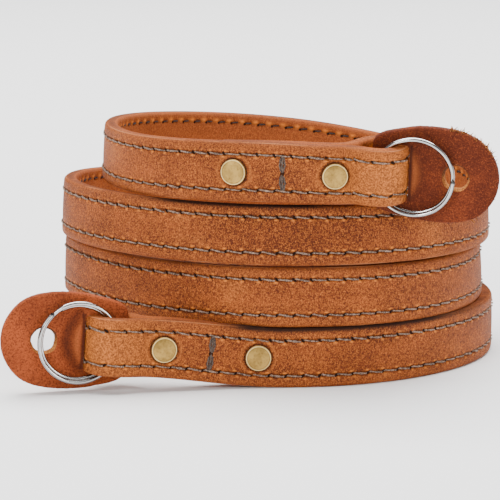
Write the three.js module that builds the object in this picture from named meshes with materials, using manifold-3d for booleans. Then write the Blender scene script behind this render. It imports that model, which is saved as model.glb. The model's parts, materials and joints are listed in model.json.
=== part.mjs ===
// Camera neck strap wound into a standing coil, millimetres, +Z up
import * as THREE from 'three';
import { mergeVertices } from 'three/addons/utils/BufferGeometryUtils.js';
import Module from 'manifold-3d';

const wasm = await Module();
wasm.setup();

// Strap band
const strap_width = 12.7;
const strap_thickness = 3.0;
const edge_radius = 1.2;
const ply_gap = 0.3;
const turn_gap = 0.4;

// Coil
const coil_radius = 46;
const coil_step_deg = 7.5;

// Loops at the two ends, measured back from the outer end of the fold
const fold_radius = 4.2;
const fold_straight = 1.6;
const fold_narrowing = 0.09;
const tail_narrowing = 0.05;
const tail_reach = 40.5;
const lower_run = 28.6;
const lower_turn_deg = 11;
const lower_rise = 2.4;
const lower_climb = 0.07;

// Cap rivets
const cap_diameter = 5.5;
const cap_height = 0.9;
const cap_gap = 0.25;
const post_diameter = 2.6;
const post_clearance = 0.3;

// Split rings, two windings of wire
const ring_outer = 17.8;
const ring_wire = 0.95;
const winding_gap = 0.15;

// Lug guards
const guard_length = 26.7;
const guard_height = 20.4;
const guard_thickness = 1.9;
const guard_edge = 0.35;
const guard_tail = 8.2;
const loop_clearance = 0.3;
const slot_clearance = 0.35;
const slot_corner = 0.8;
const lug_hole = 5.3;
const lug_hole_reach = 9.1;

// Route of the band's lower edge: degrees round the coil from the front, clockwise from above;
// radius as a share of coil_radius; height in turns; lean of the top toward the axis in degrees
const route_columns = ['angle', 'radius', 'height', 'lean'];
const route_rows = [
  [-14.9, 1.024, 3.02, -6],
  [0, 0.985, 3.02, -3],
  [45, 0.925, 3.015, 2],
  [90, 0.840, 2.98, 3],
  [135, 0.850, 2.86, 4],
  [180, 0.897, 2.64, 3],
  [225, 0.941, 2.30, 1.5],
  [270, 0.980, 2.01, 2],
  [315, 0.988, 1.995, 3],
  [360, 0.974, 2.02, 8],
  [405, 0.988, 2.02, 9],
  [450, 1.049, 1.98, 2.5],
  [495, 1.044, 1.80, -2],
  [540, 1.014, 1.48, 0],
  [585, 0.975, 1.15, 2],
  [630, 0.952, 1.01, 3],
  [675, 0.967, 0.995, 0],
  [720, 0.975, 1.025, 3],
  [765, 0.980, 1.03, 7],
  [810, 1.038, 0.98, 1.5],
  [855, 1.042, 0.42, -1],
  [878, 1.039, 0, 0],
  [900, 1.034, 0, 0],
  [945, 1.015, 0, 0],
  [990, 1.003, 0, 0],
  [1035, 0.980, 0, 0],
  [1080, 0.982, 0, 0],
];

// The two ends: outward bulge of the front ply, turn of the loop away from the axis, lean at the
// loop, length from the fork of the plies to the start of the fold, rivet places from the loop's
// end, turn of the ring and bend of the guard away from the axis, place of the wire ends, lift of
// the ring over the band's middle and its reach past the loop, lift of the guard, its slide
// outward and the further slide of its lug hole
const end_columns = [
  'name', 'bulge', 'turn', 'lean', 'fork', 'near_rivet', 'far_rivet', 'ring_turn', 'guard_bend',
  'wire_end', 'ring_lift', 'ring_reach', 'guard_lift', 'guard_slide', 'hole_slide',
];
const end_rows = [
  ['upper', 3.2, 15, -5, 4.8, 15.6, 36.1, 3, 8, 5, 0.2, 1.4, 0, 0.8, 0.8],
  ['lower', 1.0, 2, 0, 5.9, 16.1, 36.3, 2, 2, 52, 0.55, 1.2, 1.0, -0.1, 0],
];

// Outline of the lug guard: share of its length from the lug end, half height as a share
const guard_columns = ['along', 'half'];
const guard_rows = [
  [0, 0.09],
  [0.012, 0.24],
  [0.035, 0.40],
  [0.08, 0.595],
  [0.15, 0.78],
  [0.25, 0.912],
  [0.36, 0.975],
  [0.44, 0.995],
  [0.52, 1],
  [0.6, 0.99],
  [0.68, 0.97],
  [0.78, 0.915],
  [0.88, 0.855],
  [0.94, 0.795],
  [0.98, 0.715],
  [1, 0.62],
];

const pitch = strap_width + turn_gap;
const rad = Math.PI / 180;
const V = (x, y, z) => new THREE.Vector3(x, y, z);
const table = (columns, rows) => rows.map(
  (row) => Object.fromEntries(columns.map((name, i) => [name, row[i]])));
const route = table(route_columns, route_rows);
const ends = table(end_columns, end_rows);
const outline = table(guard_columns, guard_rows);

// Value of one column at any place, on cubic pieces; a level run of rows stays level if asked
function along(rows, key, name, at, level = false) {
  const last = rows.length - 1;
  const slope = (i) => {
    const a = rows[Math.max(i - 1, 0)];
    const b = rows[Math.min(i + 1, last)];
    if (level && i > 0 && i < last) {
      const before = rows[i][name] - a[name];
      const after = b[name] - rows[i][name];
      if (before * after <= 0) return 0;
    }
    return (b[name] - a[name]) / (b[key] - a[key]);
  };
  let i = 0;
  while (i < last - 1 && at > rows[i + 1][key]) i += 1;
  const h = rows[i + 1][key] - rows[i][key];
  const t = (at - rows[i][key]) / h;
  const t2 = t * t;
  const t3 = t2 * t;
  return (2 * t3 - 3 * t2 + 1) * rows[i][name] + (t3 - 2 * t2 + t) * h * slope(i)
    + (3 * t2 - 2 * t3) * rows[i + 1][name] + (t3 - t2) * h * slope(i + 1);
}

const smooth = (t) => {
  const c = Math.min(Math.max(t, 0), 1);
  return c * c * (3 - 2 * c);
};

// Lower edge of the band on the coil
function edgePoint(angle) {
  const radius = along(route, 'angle', 'radius', angle) * coil_radius;
  const height = along(route, 'angle', 'height', angle, true) * pitch;
  return V(-radius * Math.sin(angle * rad), -radius * Math.cos(angle * rad), height);
}

// A frame of the band: mid-width point, along, out (face normal) and up (width)
function frameAt(edge, forward, lean) {
  const level = V(forward.x, forward.y, 0).normalize();
  const side = V(level.y, -level.x, 0);
  if (side.dot(V(edge.x, edge.y, 0)) < 0) side.negate();
  const rise = V(0, 0, 1).addScaledVector(forward, -forward.z).normalize();
  const up = rise.clone().multiplyScalar(Math.cos(lean)).addScaledVector(side, -Math.sin(lean));
  const out = side.clone().multiplyScalar(Math.cos(lean)).addScaledVector(rise, Math.sin(lean));
  const mid = edge.clone().addScaledVector(up, strap_width / 2);
  return { mid, forward: forward.clone(), out, up };
}

function coilFrames() {
  const first = route[0].angle;
  const last = route[route.length - 1].angle;
  const count = Math.round((last - first) / coil_step_deg);
  const frames = [];
  const small = 0.2;
  for (let i = 0; i <= count; i += 1) {
    const angle = first + (last - first) * i / count;
    const forward = edgePoint(Math.min(angle + small, last))
      .sub(edgePoint(Math.max(angle - small, first))).normalize();
    frames.push(frameAt(edgePoint(angle), forward, along(route, 'angle', 'lean', angle) * rad));
  }
  const edge = edgePoint(last);
  const step = edgePoint(last).sub(edgePoint(last - small)).setZ(0).normalize();
  const heading = Math.atan2(step.y, step.x);
  const pieces = 8;
  for (let i = 1; i <= pieces; i += 1) {
    const t = i / pieces;
    const turn = heading + lower_turn_deg * rad * smooth(t * 2);
    const run = lower_run / pieces;
    edge.x += run * Math.cos(turn);
    edge.y += run * Math.sin(turn);
    edge.z = lower_rise * smooth(t) + lower_climb * lower_run * (t ** 3 - t ** 2);
    const climb = 6 * lower_rise / lower_run * (t - t ** 2) + lower_climb * (3 * t ** 2 - 2 * t);
    frames.push(frameAt(edge.clone(), V(Math.cos(turn), Math.sin(turn), climb).normalize(), 0));
  }
  return frames;
}

// Loop of one end in its own plane: x along the band from the fork, y outward
function loopShape(end) {
  const turn = end.turn * rad;
  const e = [Math.cos(turn), Math.sin(turn)];
  const n = [-Math.sin(turn), Math.cos(turn)];
  const front = [end.fork, end.bulge];
  const centre = [
    front[0] + e[0] * fold_straight - n[0] * fold_radius,
    front[1] + e[1] * fold_straight - n[1] * fold_radius,
  ];
  const back = [
    front[0] - 2 * n[0] * fold_radius,
    front[1] - 2 * n[1] * fold_radius,
  ];
  const tail = -(strap_thickness + ply_gap);
  const curve = (a, ta, b, tb, t) => {
    const k = Math.hypot(b[0] - a[0], b[1] - a[1]);
    const t2 = t * t;
    const t3 = t2 * t;
    const h = [2 * t3 - 3 * t2 + 1, t3 - 2 * t2 + t, 3 * t2 - 2 * t3, t3 - t2];
    const g = [6 * t2 - 6 * t, 3 * t2 - 4 * t + 1, 6 * t - 6 * t2, 3 * t2 - 2 * t];
    const at = [0, 1].map((i) => h[0] * a[i] + h[1] * k * ta[i] + h[2] * b[i] + h[3] * k * tb[i]);
    const to = [0, 1].map((i) => g[0] * a[i] + g[1] * k * ta[i] + g[2] * b[i] + g[3] * k * tb[i]);
    const size = Math.hypot(to[0], to[1]);
    return { x: at[0], y: at[1], tx: to[0] / size, ty: to[1] / size };
  };
  const shape = [];
  const steps = 6;
  for (let i = 1; i <= steps; i += 1) {
    const t = i / steps;
    shape.push({ ...curve([0, 0], [1, 0], front, e, t), share: smooth(t), tail: 0 });
  }
  const arc = 10;
  for (let i = 0; i <= arc; i += 1) {
    const a = Math.PI * i / arc;
    const c = Math.cos(a);
    const s = Math.sin(a);
    shape.push({
      x: centre[0] + fold_radius * (n[0] * c + e[0] * s),
      y: centre[1] + fold_radius * (n[1] * c + e[1] * s),
      tx: e[0] * c - n[0] * s,
      ty: e[1] * c - n[1] * s,
      share: 1,
      tail: 0,
    });
  }
  const home = [-0.3, tail];
  for (let i = 0; i <= steps; i += 1) {
    const t = i / steps;
    const p = curve(back, [-e[0], -e[1]], home, [-1, 0], t);
    shape.push({ ...p, share: 1 - smooth(t), tail: smooth(t) });
  }
  return { shape, centre, e, n, tail };
}

// Axes of the band's end, its top leaned toward the axis by a share of the end's lean
function leaned(base, end, share) {
  const lean = end.lean * rad * share;
  return {
    out: base.out.clone().multiplyScalar(Math.cos(lean)).addScaledVector(base.up, Math.sin(lean)),
    up: base.up.clone().multiplyScalar(Math.cos(lean)).addScaledVector(base.out, -Math.sin(lean)),
  };
}

// Sections from the fork out to the fold and back along the tail
function endSections(base, end, inner) {
  const loop = loopShape(end);
  const sections = loop.shape.map((p) => {
    const axes = leaned(base, end, p.share);
    const mid = base.mid.clone().addScaledVector(base.forward, p.x).addScaledVector(axes.out, p.y);
    const out = axes.out.clone().multiplyScalar(p.tx).addScaledVector(base.forward, -p.ty);
    const narrow = 1 - fold_narrowing * p.share - tail_narrowing * p.tail;
    return { mid, out: out.normalize(), up: axes.up.multiplyScalar(narrow) };
  });
  inner.forEach((frame) => {
    sections.push({
      mid: frame.mid.clone().addScaledVector(frame.out, loop.tail),
      out: frame.out.clone().negate(),
      up: frame.up.clone().multiplyScalar(1 - tail_narrowing),
    });
  });
  const axes = leaned(base, end, 1);
  const centre = base.mid.clone().addScaledVector(base.forward, loop.centre[0])
    .addScaledVector(axes.out, loop.centre[1]);
  const spot = {
    centre,
    e: base.forward.clone().multiplyScalar(loop.e[0]).addScaledVector(axes.out, loop.e[1]),
    n: base.forward.clone().multiplyScalar(loop.n[0]).addScaledVector(axes.out, loop.n[1]),
    w: axes.up,
  };
  return { sections, spot };
}

// Frames from a given distance before the fork, with one exactly at each asked distance
function framesBack(frames, limit) {
  const kept = [];
  let run = 0;
  for (let i = 1; i < frames.length; i += 1) {
    run += frames[i].mid.distanceTo(frames[i - 1].mid);
    if (run > limit) break;
    kept.push(frames[i]);
  }
  kept.push(frameBack(frames, limit));
  return kept;
}

function frameBack(frames, distance) {
  let run = 0;
  for (let i = 1; i < frames.length; i += 1) {
    const step = frames[i].mid.distanceTo(frames[i - 1].mid);
    if (run + step >= distance) {
      const t = (distance - run) / step;
      const mix = (a, b) => a.clone().lerp(b, t);
      return {
        mid: mix(frames[i - 1].mid, frames[i].mid),
        out: mix(frames[i - 1].out, frames[i].out).normalize(),
        up: mix(frames[i - 1].up, frames[i].up).normalize(),
      };
    }
    run += step;
  }
  throw new Error('the band is shorter than its tail');
}

// Closed solid from rings of points of equal count, capped with fans
function loft(rings) {
  const count = rings[0].length;
  const points = rings.flat();
  const index = [];
  for (let i = 0; i < rings.length - 1; i += 1) {
    for (let j = 0; j < count; j += 1) {
      const a = i * count + j;
      const b = i * count + (j + 1) % count;
      index.push(a, b, a + count, b, b + count, a + count);
    }
  }
  [[0, false], [rings.length - 1, true]].forEach(([at, flip]) => {
    const centre = rings[at].reduce((sum, p) => sum.add(p), V(0, 0, 0)).divideScalar(count);
    points.push(centre);
    const c = points.length - 1;
    for (let j = 0; j < count; j += 1) {
      const a = at * count + j;
      const b = at * count + (j + 1) % count;
      if (flip) index.push(a, b, c);
      else index.push(b, a, c);
    }
  });
  let volume = 0;
  for (let i = 0; i < index.length; i += 3) {
    const [a, b, c] = [points[index[i]], points[index[i + 1]], points[index[i + 2]]];
    volume += a.dot(b.clone().cross(c));
  }
  if (volume < 0) {
    for (let i = 0; i < index.length; i += 3) {
      [index[i], index[i + 1]] = [index[i + 1], index[i]];
    }
  }
  const geometry = new THREE.BufferGeometry();
  const flat = points.flatMap((p) => [p.x, p.y, p.z]);
  geometry.setAttribute('position', new THREE.Float32BufferAttribute(flat, 3));
  geometry.setIndex(index);
  return geometry;
}

function solid(geometry) {
  const bare = geometry.clone();
  bare.deleteAttribute('uv');
  bare.deleteAttribute('normal');
  const whole = mergeVertices(bare, 1e-5);
  const mesh = new wasm.Mesh({
    numProp: 3,
    vertProperties: new Float32Array(whole.attributes.position.array),
    triVerts: new Uint32Array(whole.index.array),
  });
  return new wasm.Manifold(mesh);
}

function shell(manifold) {
  const mesh = manifold.getMesh();
  const geometry = new THREE.BufferGeometry();
  geometry.setAttribute('position', new THREE.BufferAttribute(
    new Float32Array(mesh.vertProperties), 3));
  geometry.setIndex(Array.from(mesh.triVerts));
  return geometry;
}

// Rounded band section, width on y and thickness on x
function bandProfile() {
  const points = [];
  const x = strap_thickness / 2 - edge_radius;
  const y = strap_width / 2 - edge_radius;
  const corners = [[x, y, 0], [-x, y, 90], [-x, -y, 180], [x, -y, 270]];
  corners.forEach(([cx, cy, start]) => {
    for (let i = 0; i <= 2; i += 1) {
      const a = (start + 45 * i) * rad;
      points.push([cx + edge_radius * Math.cos(a), cy + edge_radius * Math.sin(a)]);
    }
  });
  return points;
}

function placed(geometry, spot) {
  const basis = new THREE.Matrix4().makeBasis(spot.e, spot.n, spot.w);
  basis.setPosition(spot.centre);
  const moved = geometry.clone().applyMatrix4(basis);
  if (basis.determinant() < 0) {
    const index = Array.from(moved.index.array);
    for (let i = 0; i < index.length; i += 3) {
      [index[i], index[i + 1]] = [index[i + 1], index[i]];
    }
    moved.setIndex(index);
  }
  return moved;
}

// Cylinder along the face normal through a frame's middle
function bore(frame, diameter, length) {
  const rod = new THREE.CylinderGeometry(diameter / 2, diameter / 2, length, 16);
  const q = new THREE.Quaternion().setFromUnitVectors(V(0, 1, 0), frame.out);
  rod.applyQuaternion(q);
  rod.translate(frame.mid.x, frame.mid.y, frame.mid.z);
  return solid(rod);
}

// Cap, post and cap in one turned solid, its axis on the face normal
function rivet(frame) {
  const face = strap_thickness / 2 + cap_gap;
  const back = -(face + strap_thickness + ply_gap);
  const cap = cap_diameter / 2;
  const rim = cap_height * 0.45;
  const post = post_diameter / 2;
  const line = [
    [0, back - cap_height],
    [cap * 0.55, back - cap_height * 0.95],
    [cap * 0.88, back - cap_height * 0.75],
    [cap, back - rim],
    [cap, back - 0.05],
    [cap - 0.15, back],
    [post, back],
    [post, face],
    [cap - 0.15, face],
    [cap, face + 0.05],
    [cap, face + rim],
    [cap * 0.88, face + cap_height * 0.75],
    [cap * 0.55, face + cap_height * 0.95],
    [0, face + cap_height],
  ].map(([x, y]) => new THREE.Vector2(x, y));
  const turned = new THREE.LatheGeometry(line, 14);
  turned.applyQuaternion(new THREE.Quaternion().setFromUnitVectors(V(0, 1, 0), frame.out));
  turned.translate(frame.mid.x, frame.mid.y, frame.mid.z);
  turned.deleteAttribute('uv');
  turned.deleteAttribute('normal');
  return shell(solid(turned));
}

// Two windings of six-sided wire, turned about the wire that lies in the loop
function splitRing(end, spot) {
  const mean = (ring_outer - ring_wire) / 2;
  const step = ring_wire + winding_gap;
  const centre = fold_radius + strap_thickness / 2 + end.ring_reach;
  const face = fold_radius - strap_thickness / 2;
  const middle = face - loop_clearance - step / 2 - ring_wire / 2;
  const pivot = centre - mean;
  const total = 708;
  const count = 64;
  const rings = [];
  for (let i = 0; i <= count; i += 1) {
    const turned = total * i / count;
    const a = (end.wire_end + 6 + turned) * rad;
    const level = middle + step * (smooth((turned - 330) / 50) - 0.5);
    const ring = [];
    for (let j = 0; j < 6; j += 1) {
      const b = (60 * j + 30) * rad;
      const r = mean + ring_wire / 2 * Math.cos(b);
      const x = centre + r * Math.cos(a);
      const y = level + ring_wire / 2 * Math.sin(b);
      const away = end.ring_turn * rad;
      ring.push(V(
        pivot + (x - pivot) * Math.cos(away) - (y - middle) * Math.sin(away),
        middle + (y - middle) * Math.cos(away) + (x - pivot) * Math.sin(away),
        end.ring_lift + r * Math.sin(a),
      ));
    }
    rings.push(ring);
  }
  return shell(solid(placed(loft(rings), spot)));
}

// Leather lug guard: a plate with a slot for the band and a lug hole
function lugGuard(end, spot) {
  const half = guard_height / 2;
  const tip = fold_radius + strap_thickness / 2 + guard_length - guard_tail + end.guard_slide;
  const face = fold_radius - strap_thickness / 2;
  const middle = face - 2 * loop_clearance - 2 * ring_wire - winding_gap - guard_thickness / 2;
  const bend_start = fold_radius + strap_thickness / 2 + slot_clearance;
  const bend_length = 4;
  const swell_place = bend_start + 2;
  const swell = 0.8;
  const shift = (x, v) => {
    const s = Math.min(Math.max((x - bend_start) / bend_length, 0), 1);
    const beyond = Math.max(x - bend_start - bend_length, 0);
    const bent = Math.tan(end.guard_bend * rad) * (bend_length * (s ** 3 - s ** 4 / 2) + beyond);
    const dx = Math.min(Math.abs(x - swell_place) / 2.8, 1);
    const dv = Math.min(Math.abs(v) / 6.4, 1);
    return bent + swell * (1 - smooth(dx)) * (1 - smooth(dv));
  };
  const cells = 10;
  const rows = [];
  outline.forEach((row, i) => {
    rows.push(row);
    const next = outline[i + 1];
    if (next && next.along - row.along > 0.045 && row.along > 0.3) {
      rows.push({ along: (row.along + next.along) / 2, half: (row.half + next.half) / 2 });
    }
  });
  const rings = rows.map((row) => {
    const x = tip - row.along * guard_length;
    const h = half * row.half;
    const t = guard_thickness / 2;
    const e = Math.min(guard_edge, h / 2);
    const ring = [];
    for (let j = 0; j <= cells; j += 1) ring.push([-(h - e) + 2 * (h - e) * j / cells, t]);
    ring.push([h, t - e], [h, -(t - e)]);
    for (let j = cells; j >= 0; j -= 1) ring.push([-(h - e) + 2 * (h - e) * j / cells, -t]);
    ring.push([-h, -(t - e)], [-h, t - e]);
    return ring.map(([v, y]) => V(x, middle + y + shift(x, v), end.guard_lift + v));
  });
  const inner = Math.sqrt(Math.max(face ** 2 - (middle - guard_thickness / 2) ** 2, 1));
  const slot_from = inner - slot_clearance;
  const slot_to = bend_start;
  const slot_half = strap_width / 2 + slot_clearance;
  const shape = new THREE.Shape();
  const c = slot_corner;
  shape.moveTo(slot_from + c, -slot_half);
  shape.lineTo(slot_to - c, -slot_half);
  shape.lineTo(slot_to, -slot_half + c);
  shape.lineTo(slot_to, slot_half - c);
  shape.lineTo(slot_to - c, slot_half);
  shape.lineTo(slot_from + c, slot_half);
  shape.lineTo(slot_from, slot_half - c);
  shape.lineTo(slot_from, -slot_half + c);
  shape.closePath();
  const depth = guard_thickness * 6;
  const cutter = new THREE.ExtrudeGeometry(shape, { depth, bevelEnabled: false });
  cutter.rotateX(Math.PI / 2);
  cutter.translate(0, middle + depth / 2, 0);
  const hole = new THREE.CylinderGeometry(lug_hole / 2, lug_hole / 2, depth, 24);
  const lug = fold_radius + strap_thickness / 2 + lug_hole_reach + end.guard_slide + end.hole_slide;
  hole.rotateZ(end.guard_bend * rad);
  hole.translate(lug, middle + shift(lug, 0), end.guard_lift);
  const plate = solid(loft(rings)).subtract(solid(cutter)).subtract(solid(hole));
  return shell(solid(placed(shell(plate), spot)));
}

const group = new THREE.Group();
const tan_leather = new THREE.MeshStandardMaterial({ color: 0xb9713f, roughness: 0.6 });
const guard_leather = new THREE.MeshStandardMaterial({ color: 0xa85f3c, roughness: 0.8 });
const brass = new THREE.MeshStandardMaterial({ color: 0xa8925f, roughness: 0.35, metalness: 1 });
const nickel = new THREE.MeshStandardMaterial({ color: 0xc9c9cc, roughness: 0.2, metalness: 1 });

function piece(name, geometry, material) {
  const mesh = new THREE.Mesh(geometry, material.clone());
  mesh.name = name;
  group.add(mesh);
  return mesh;
}

const coil = coilFrames();
const upper_base = { ...coil[0], forward: coil[0].forward.clone().negate() };
const lower_base = coil[coil.length - 1];
const from_upper = coil;
const from_lower = [...coil].reverse();
const reach = (end) => {
  const loop = loopShape(end);
  return loop.centre[0] + fold_radius + strap_thickness / 2;
};
const [upper, lower] = ends;
const upper_end = endSections(upper_base, upper,
  framesBack(from_upper, tail_reach - reach(upper)));
const lower_end = endSections(lower_base, lower,
  framesBack(from_lower, tail_reach - reach(lower)));

const sections = [
  ...[...upper_end.sections].reverse(),
  ...coil.map((f) => ({ ...f, out: f.out })),
  ...lower_end.sections,
];
const profile = bandProfile();
const band = loft(sections.map((s) => profile.map(([x, y]) => s.mid.clone()
  .addScaledVector(s.out, x).addScaledVector(s.up, y))));

const stations = [
  ['upper_rivet_outer', frameBack(from_upper, upper.near_rivet - reach(upper))],
  ['upper_rivet_inner', frameBack(from_upper, upper.far_rivet - reach(upper))],
  ['lower_rivet_outer', frameBack(from_lower, lower.near_rivet - reach(lower))],
  ['lower_rivet_inner', frameBack(from_lower, lower.far_rivet - reach(lower))],
];
let strap = solid(band);
stations.forEach(([, frame]) => {
  strap = strap.subtract(bore(frame, post_diameter + 2 * post_clearance, strap_thickness * 5));
});

piece('strap', shell(strap), tan_leather);
piece('upper_ring', splitRing(upper, upper_end.spot), nickel);
piece('lower_ring', splitRing(lower, lower_end.spot), nickel);
piece('upper_guard', lugGuard(upper, upper_end.spot), guard_leather);
piece('lower_guard', lugGuard(lower, lower_end.spot), guard_leather);
stations.forEach(([name, frame]) => piece(name, rivet(frame), brass));

// Bottom centre of the whole goes to the origin
const box = new THREE.Box3().setFromObject(group);
const middle = box.getCenter(V(0, 0, 0));
group.children.forEach((mesh) => {
  mesh.geometry.translate(-middle.x, -middle.y, -box.min.z);
  mesh.geometry.computeVertexNormals();
});

export default group;
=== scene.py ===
"""Dressed model of a leather camera neck strap wound into a standing coil."""

import json
import math

import bmesh
import bpy
import numpy as np
from bpy.props import FloatProperty, FloatVectorProperty, IntProperty, PointerProperty
from mathutils import Matrix, Vector

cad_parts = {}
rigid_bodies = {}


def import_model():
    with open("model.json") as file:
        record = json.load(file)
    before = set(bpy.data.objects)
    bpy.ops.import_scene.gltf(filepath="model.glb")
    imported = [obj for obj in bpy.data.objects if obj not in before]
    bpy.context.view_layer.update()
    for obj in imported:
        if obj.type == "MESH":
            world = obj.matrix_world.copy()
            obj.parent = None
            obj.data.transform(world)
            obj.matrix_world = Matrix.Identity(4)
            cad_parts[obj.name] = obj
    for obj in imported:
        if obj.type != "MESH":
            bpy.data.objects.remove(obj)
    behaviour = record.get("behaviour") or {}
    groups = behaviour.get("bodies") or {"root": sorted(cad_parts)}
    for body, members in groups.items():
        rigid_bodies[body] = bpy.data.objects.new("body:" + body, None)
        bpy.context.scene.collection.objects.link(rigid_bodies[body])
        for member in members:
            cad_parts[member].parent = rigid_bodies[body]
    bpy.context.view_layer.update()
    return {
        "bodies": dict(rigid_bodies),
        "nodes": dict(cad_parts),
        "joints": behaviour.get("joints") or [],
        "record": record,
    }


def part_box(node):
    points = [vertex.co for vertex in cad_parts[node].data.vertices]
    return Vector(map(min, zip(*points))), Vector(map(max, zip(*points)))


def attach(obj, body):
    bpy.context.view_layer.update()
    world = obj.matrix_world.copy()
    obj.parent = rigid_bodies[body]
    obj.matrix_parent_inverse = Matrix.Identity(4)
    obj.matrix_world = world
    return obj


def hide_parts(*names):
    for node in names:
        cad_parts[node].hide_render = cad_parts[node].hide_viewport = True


bl_info = {
    "name": "Coiled neck strap",
    "version": (1, 0, 0),
    "blender": (4, 5, 0),
    "location": "3D View > Sidebar > Strap",
    "description": "Builds the stitched band, rings, guards, rivets and stage of a neck strap",
    "category": "Object",
}

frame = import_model()

MM = 0.001
RAD = math.pi / 180

# Lengths in these tables are in millimetres and angles in degrees, if no other unit is given

# Route of the band's lower edge round the coil: degrees from the front, radius as a share of the
# coil's, height in turns, lean of the top toward the axis
ROUTE = np.array([
    [-15.6, 1.026, 3.02, -6], [0, 0.985, 3.02, -3], [45, 0.925, 2.985, 2], [90, 0.840, 2.98, 3],
    [135, 0.850, 2.86, 4], [180, 0.897, 2.64, 3], [225, 0.941, 2.30, 1.5], [270, 0.980, 1.985, 2],
    [315, 0.988, 1.96, 3], [360, 0.974, 1.98, 8], [405, 0.988, 2.0, 9], [450, 1.049, 1.98, 2.5],
    [495, 1.044, 1.80, -2], [540, 1.014, 1.48, 0], [585, 0.975, 1.15, 2], [630, 0.952, 0.99, 3],
    [675, 0.972, 0.962, 0], [720, 0.975, 0.98, 3], [765, 0.980, 0.99, 7], [810, 1.038, 0.98, 1.5],
    [855, 1.042, 0.42, -1], [878, 1.039, 0, 0], [900, 1.034, 0, 0], [945, 1.015, 0, 0],
    [990, 1.003, 0, 0], [1035, 0.980, 0, 0], [1080, 0.982, 0, 0],
])

# What differs between the two ends. Loop: bulge of the front ply, turn away from the axis, lean,
# length from the fork of the plies to the fold, narrowing, drop, and the length that is stretched
# on each side of the fold. Rivets: near and far place from the loop's end. Ring: turn, place of
# the wire ends, spread of the windings, lift, reach past the loop. Guard: bend away from the axis,
# lift, slide outward, further slide of its lug hole, then the height, width and rise of the fold
# that the loop presses up, and the shares of its valley and its shade
ENDS = {
    "upper": dict(bulge=3.2, turn=15, lean=-5, fork=4.8, slim=0.03, drop=0.5, stretch=26,
                  near=15.6, far=36.4, ring_turn=3, wire_end=5, spread=0.3, ring_lift=-0.15,
                  ring_reach=1.35,
                  bend=8, lift=0, slide=0.57, hole_slide=0.46,
                  fold_height=6.6, fold_width=2.6, fold_rise=0.75, valley=0.35, hollow=0.35),
    "lower": dict(bulge=1.0, turn=2, lean=0, fork=5.9, slim=0.03, drop=0, stretch=24,
                  near=16.2, far=36.6, ring_turn=2, wire_end=52, spread=0.55, ring_lift=0.4,
                  ring_reach=1.55,
                  bend=2, lift=0.4, slide=-0.85, hole_slide=0.45,
                  fold_height=6.9, fold_width=3.3, fold_rise=1.0, valley=1.0, hollow=1.0),
}

# Outline of a lug guard: share of its length from the lug end, half height as a share
GUARD_OUTLINE = np.array([
    [0, 0.0], [0.003, 0.12], [0.012, 0.24], [0.035, 0.40], [0.08, 0.595], [0.15, 0.78],
    [0.25, 0.912], [0.36, 0.975], [0.44, 0.995], [0.52, 1], [0.6, 0.99], [0.68, 0.97],
    [0.78, 0.915], [0.88, 0.855], [0.94, 0.795], [0.98, 0.715], [1, 0.62],
])

# Tone of the leather along the coil: degrees from the front, 0 dark to 1 light
TONES = np.array([
    [-15, 0.55], [10, 0.45], [25, 0.65], [45, 1.1], [75, 1.0], [90, 0.8], [180, 0.5],
    [270, 0.6], [300, 0.6], [315, 0.35], [335, 0.3], [350, 0.15], [375, 0.1], [390, 0.35],
    [405, 0.7], [440, 0.75], [470, 0.5], [600, 0.5], [640, 0.4], [665, 0.65], [685, 0.7],
    [705, 0.65], [725, 0.55], [745, 0.5], [755, 0.4], [770, 0.5], [790, 0.8], [820, 0.6],
    [1000, 0.5], [1030, 0.5], [1050, 0.6], [1070, 0.5], [1080, 0.35],
])

# Shade on the upper edge where the turn above lies close: degrees from the front, strength
SHADE = np.array([
    [305, 0], [328, 1], [392, 1], [412, 0], [665, 0], [690, 0.3], [760, 0.3], [785, 0],
    [1005, 0], [1036, 1], [1080, 1],
])

# Where a turn lies over the band: from and to, in degrees from the front, and the places between
# them where it stands clear, with the length to each side
COVERED_FROM, COVERED_TO = 340, 1080
CLEAR = ((440, 24), (985, 26))

# The coil: gap between turns, angle of one step, run over which the upper end sags
TURN_GAP = 0.4
COIL_STEP = 7.5
SAG_RUN = 22

# The lower end past the coil: run, turn away from the coil, rise, climb as a slope, steps
LOWER_RUN = 29.15
LOWER_TURN = 11
LOWER_RISE = 3.05
LOWER_CLIMB = 0.07
LOWER_STEPS = 8

# The folded ends: radius of the fold, its straight run, the run over which the band narrows to
# the loop, the tail's narrowing and reach from the loop's end, the gap between the plies, the
# place of the bar tack, and the steps out to the fold, round it and back
FOLD = 4.2
FOLD_STRAIGHT = 1.6
SLIM_RUN = 18
TAIL_NARROWING = 0.05
TAIL_REACH = 40.5
PLY_GAP = 0.3
TACK_REACH = 26.3
OUT_STEPS, FOLD_STEPS, BACK_STEPS = 6, 10, 6
LOOP_ROWS = OUT_STEPS + FOLD_STEPS + BACK_STEPS + 2

# Radius of the solid band's edges, and how much nearer the edge the inner stitches lie
SOLID_EDGE = 1.2
INNER_SHIFT = 0.55

# Rows of stitches by face: shift toward the edge, share of the pitch and of the thread's width,
# rise, depth of the ends, faces round and along, and how dark the thread is: painted shade on the
# inner face
STITCHING = {
    1: dict(name="stitches_outer", thread="waxed_thread", dark=0.0, shift=0, span=0.88,
            width=0.95, rise=0.22, sunk=0.10, sides=8, rings=10),
    -1: dict(name="stitches_inner", thread="inner_thread", dark=0.9, shift=INNER_SHIFT, span=0.52,
             width=0.9, rise=0.14, sunk=0.20, sides=6, rings=7),
}

# Bar tacks: strands to a bundle, points to a strand, spread, bow and sunk depth of the strands,
# half gap between the two bundles
TACK_STRANDS = 3
TACK_POINTS = 9
TACK_SPREAD = 0.52
TACK_BOW = 0.36
TACK_SUNK = 0.18
TACK_SPLIT = 0.12

# Split rings: gap between the windings, sweep of the wire, room to the band
WIRE_GAP = 0.15
WIRE_SWEEP = 708
RING_ROOM = 0.3

# Rivet caps: height, and depth of the rim in the leather
CAP_HEIGHT = 1.05
CAP_SUNK = 0.12

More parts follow.
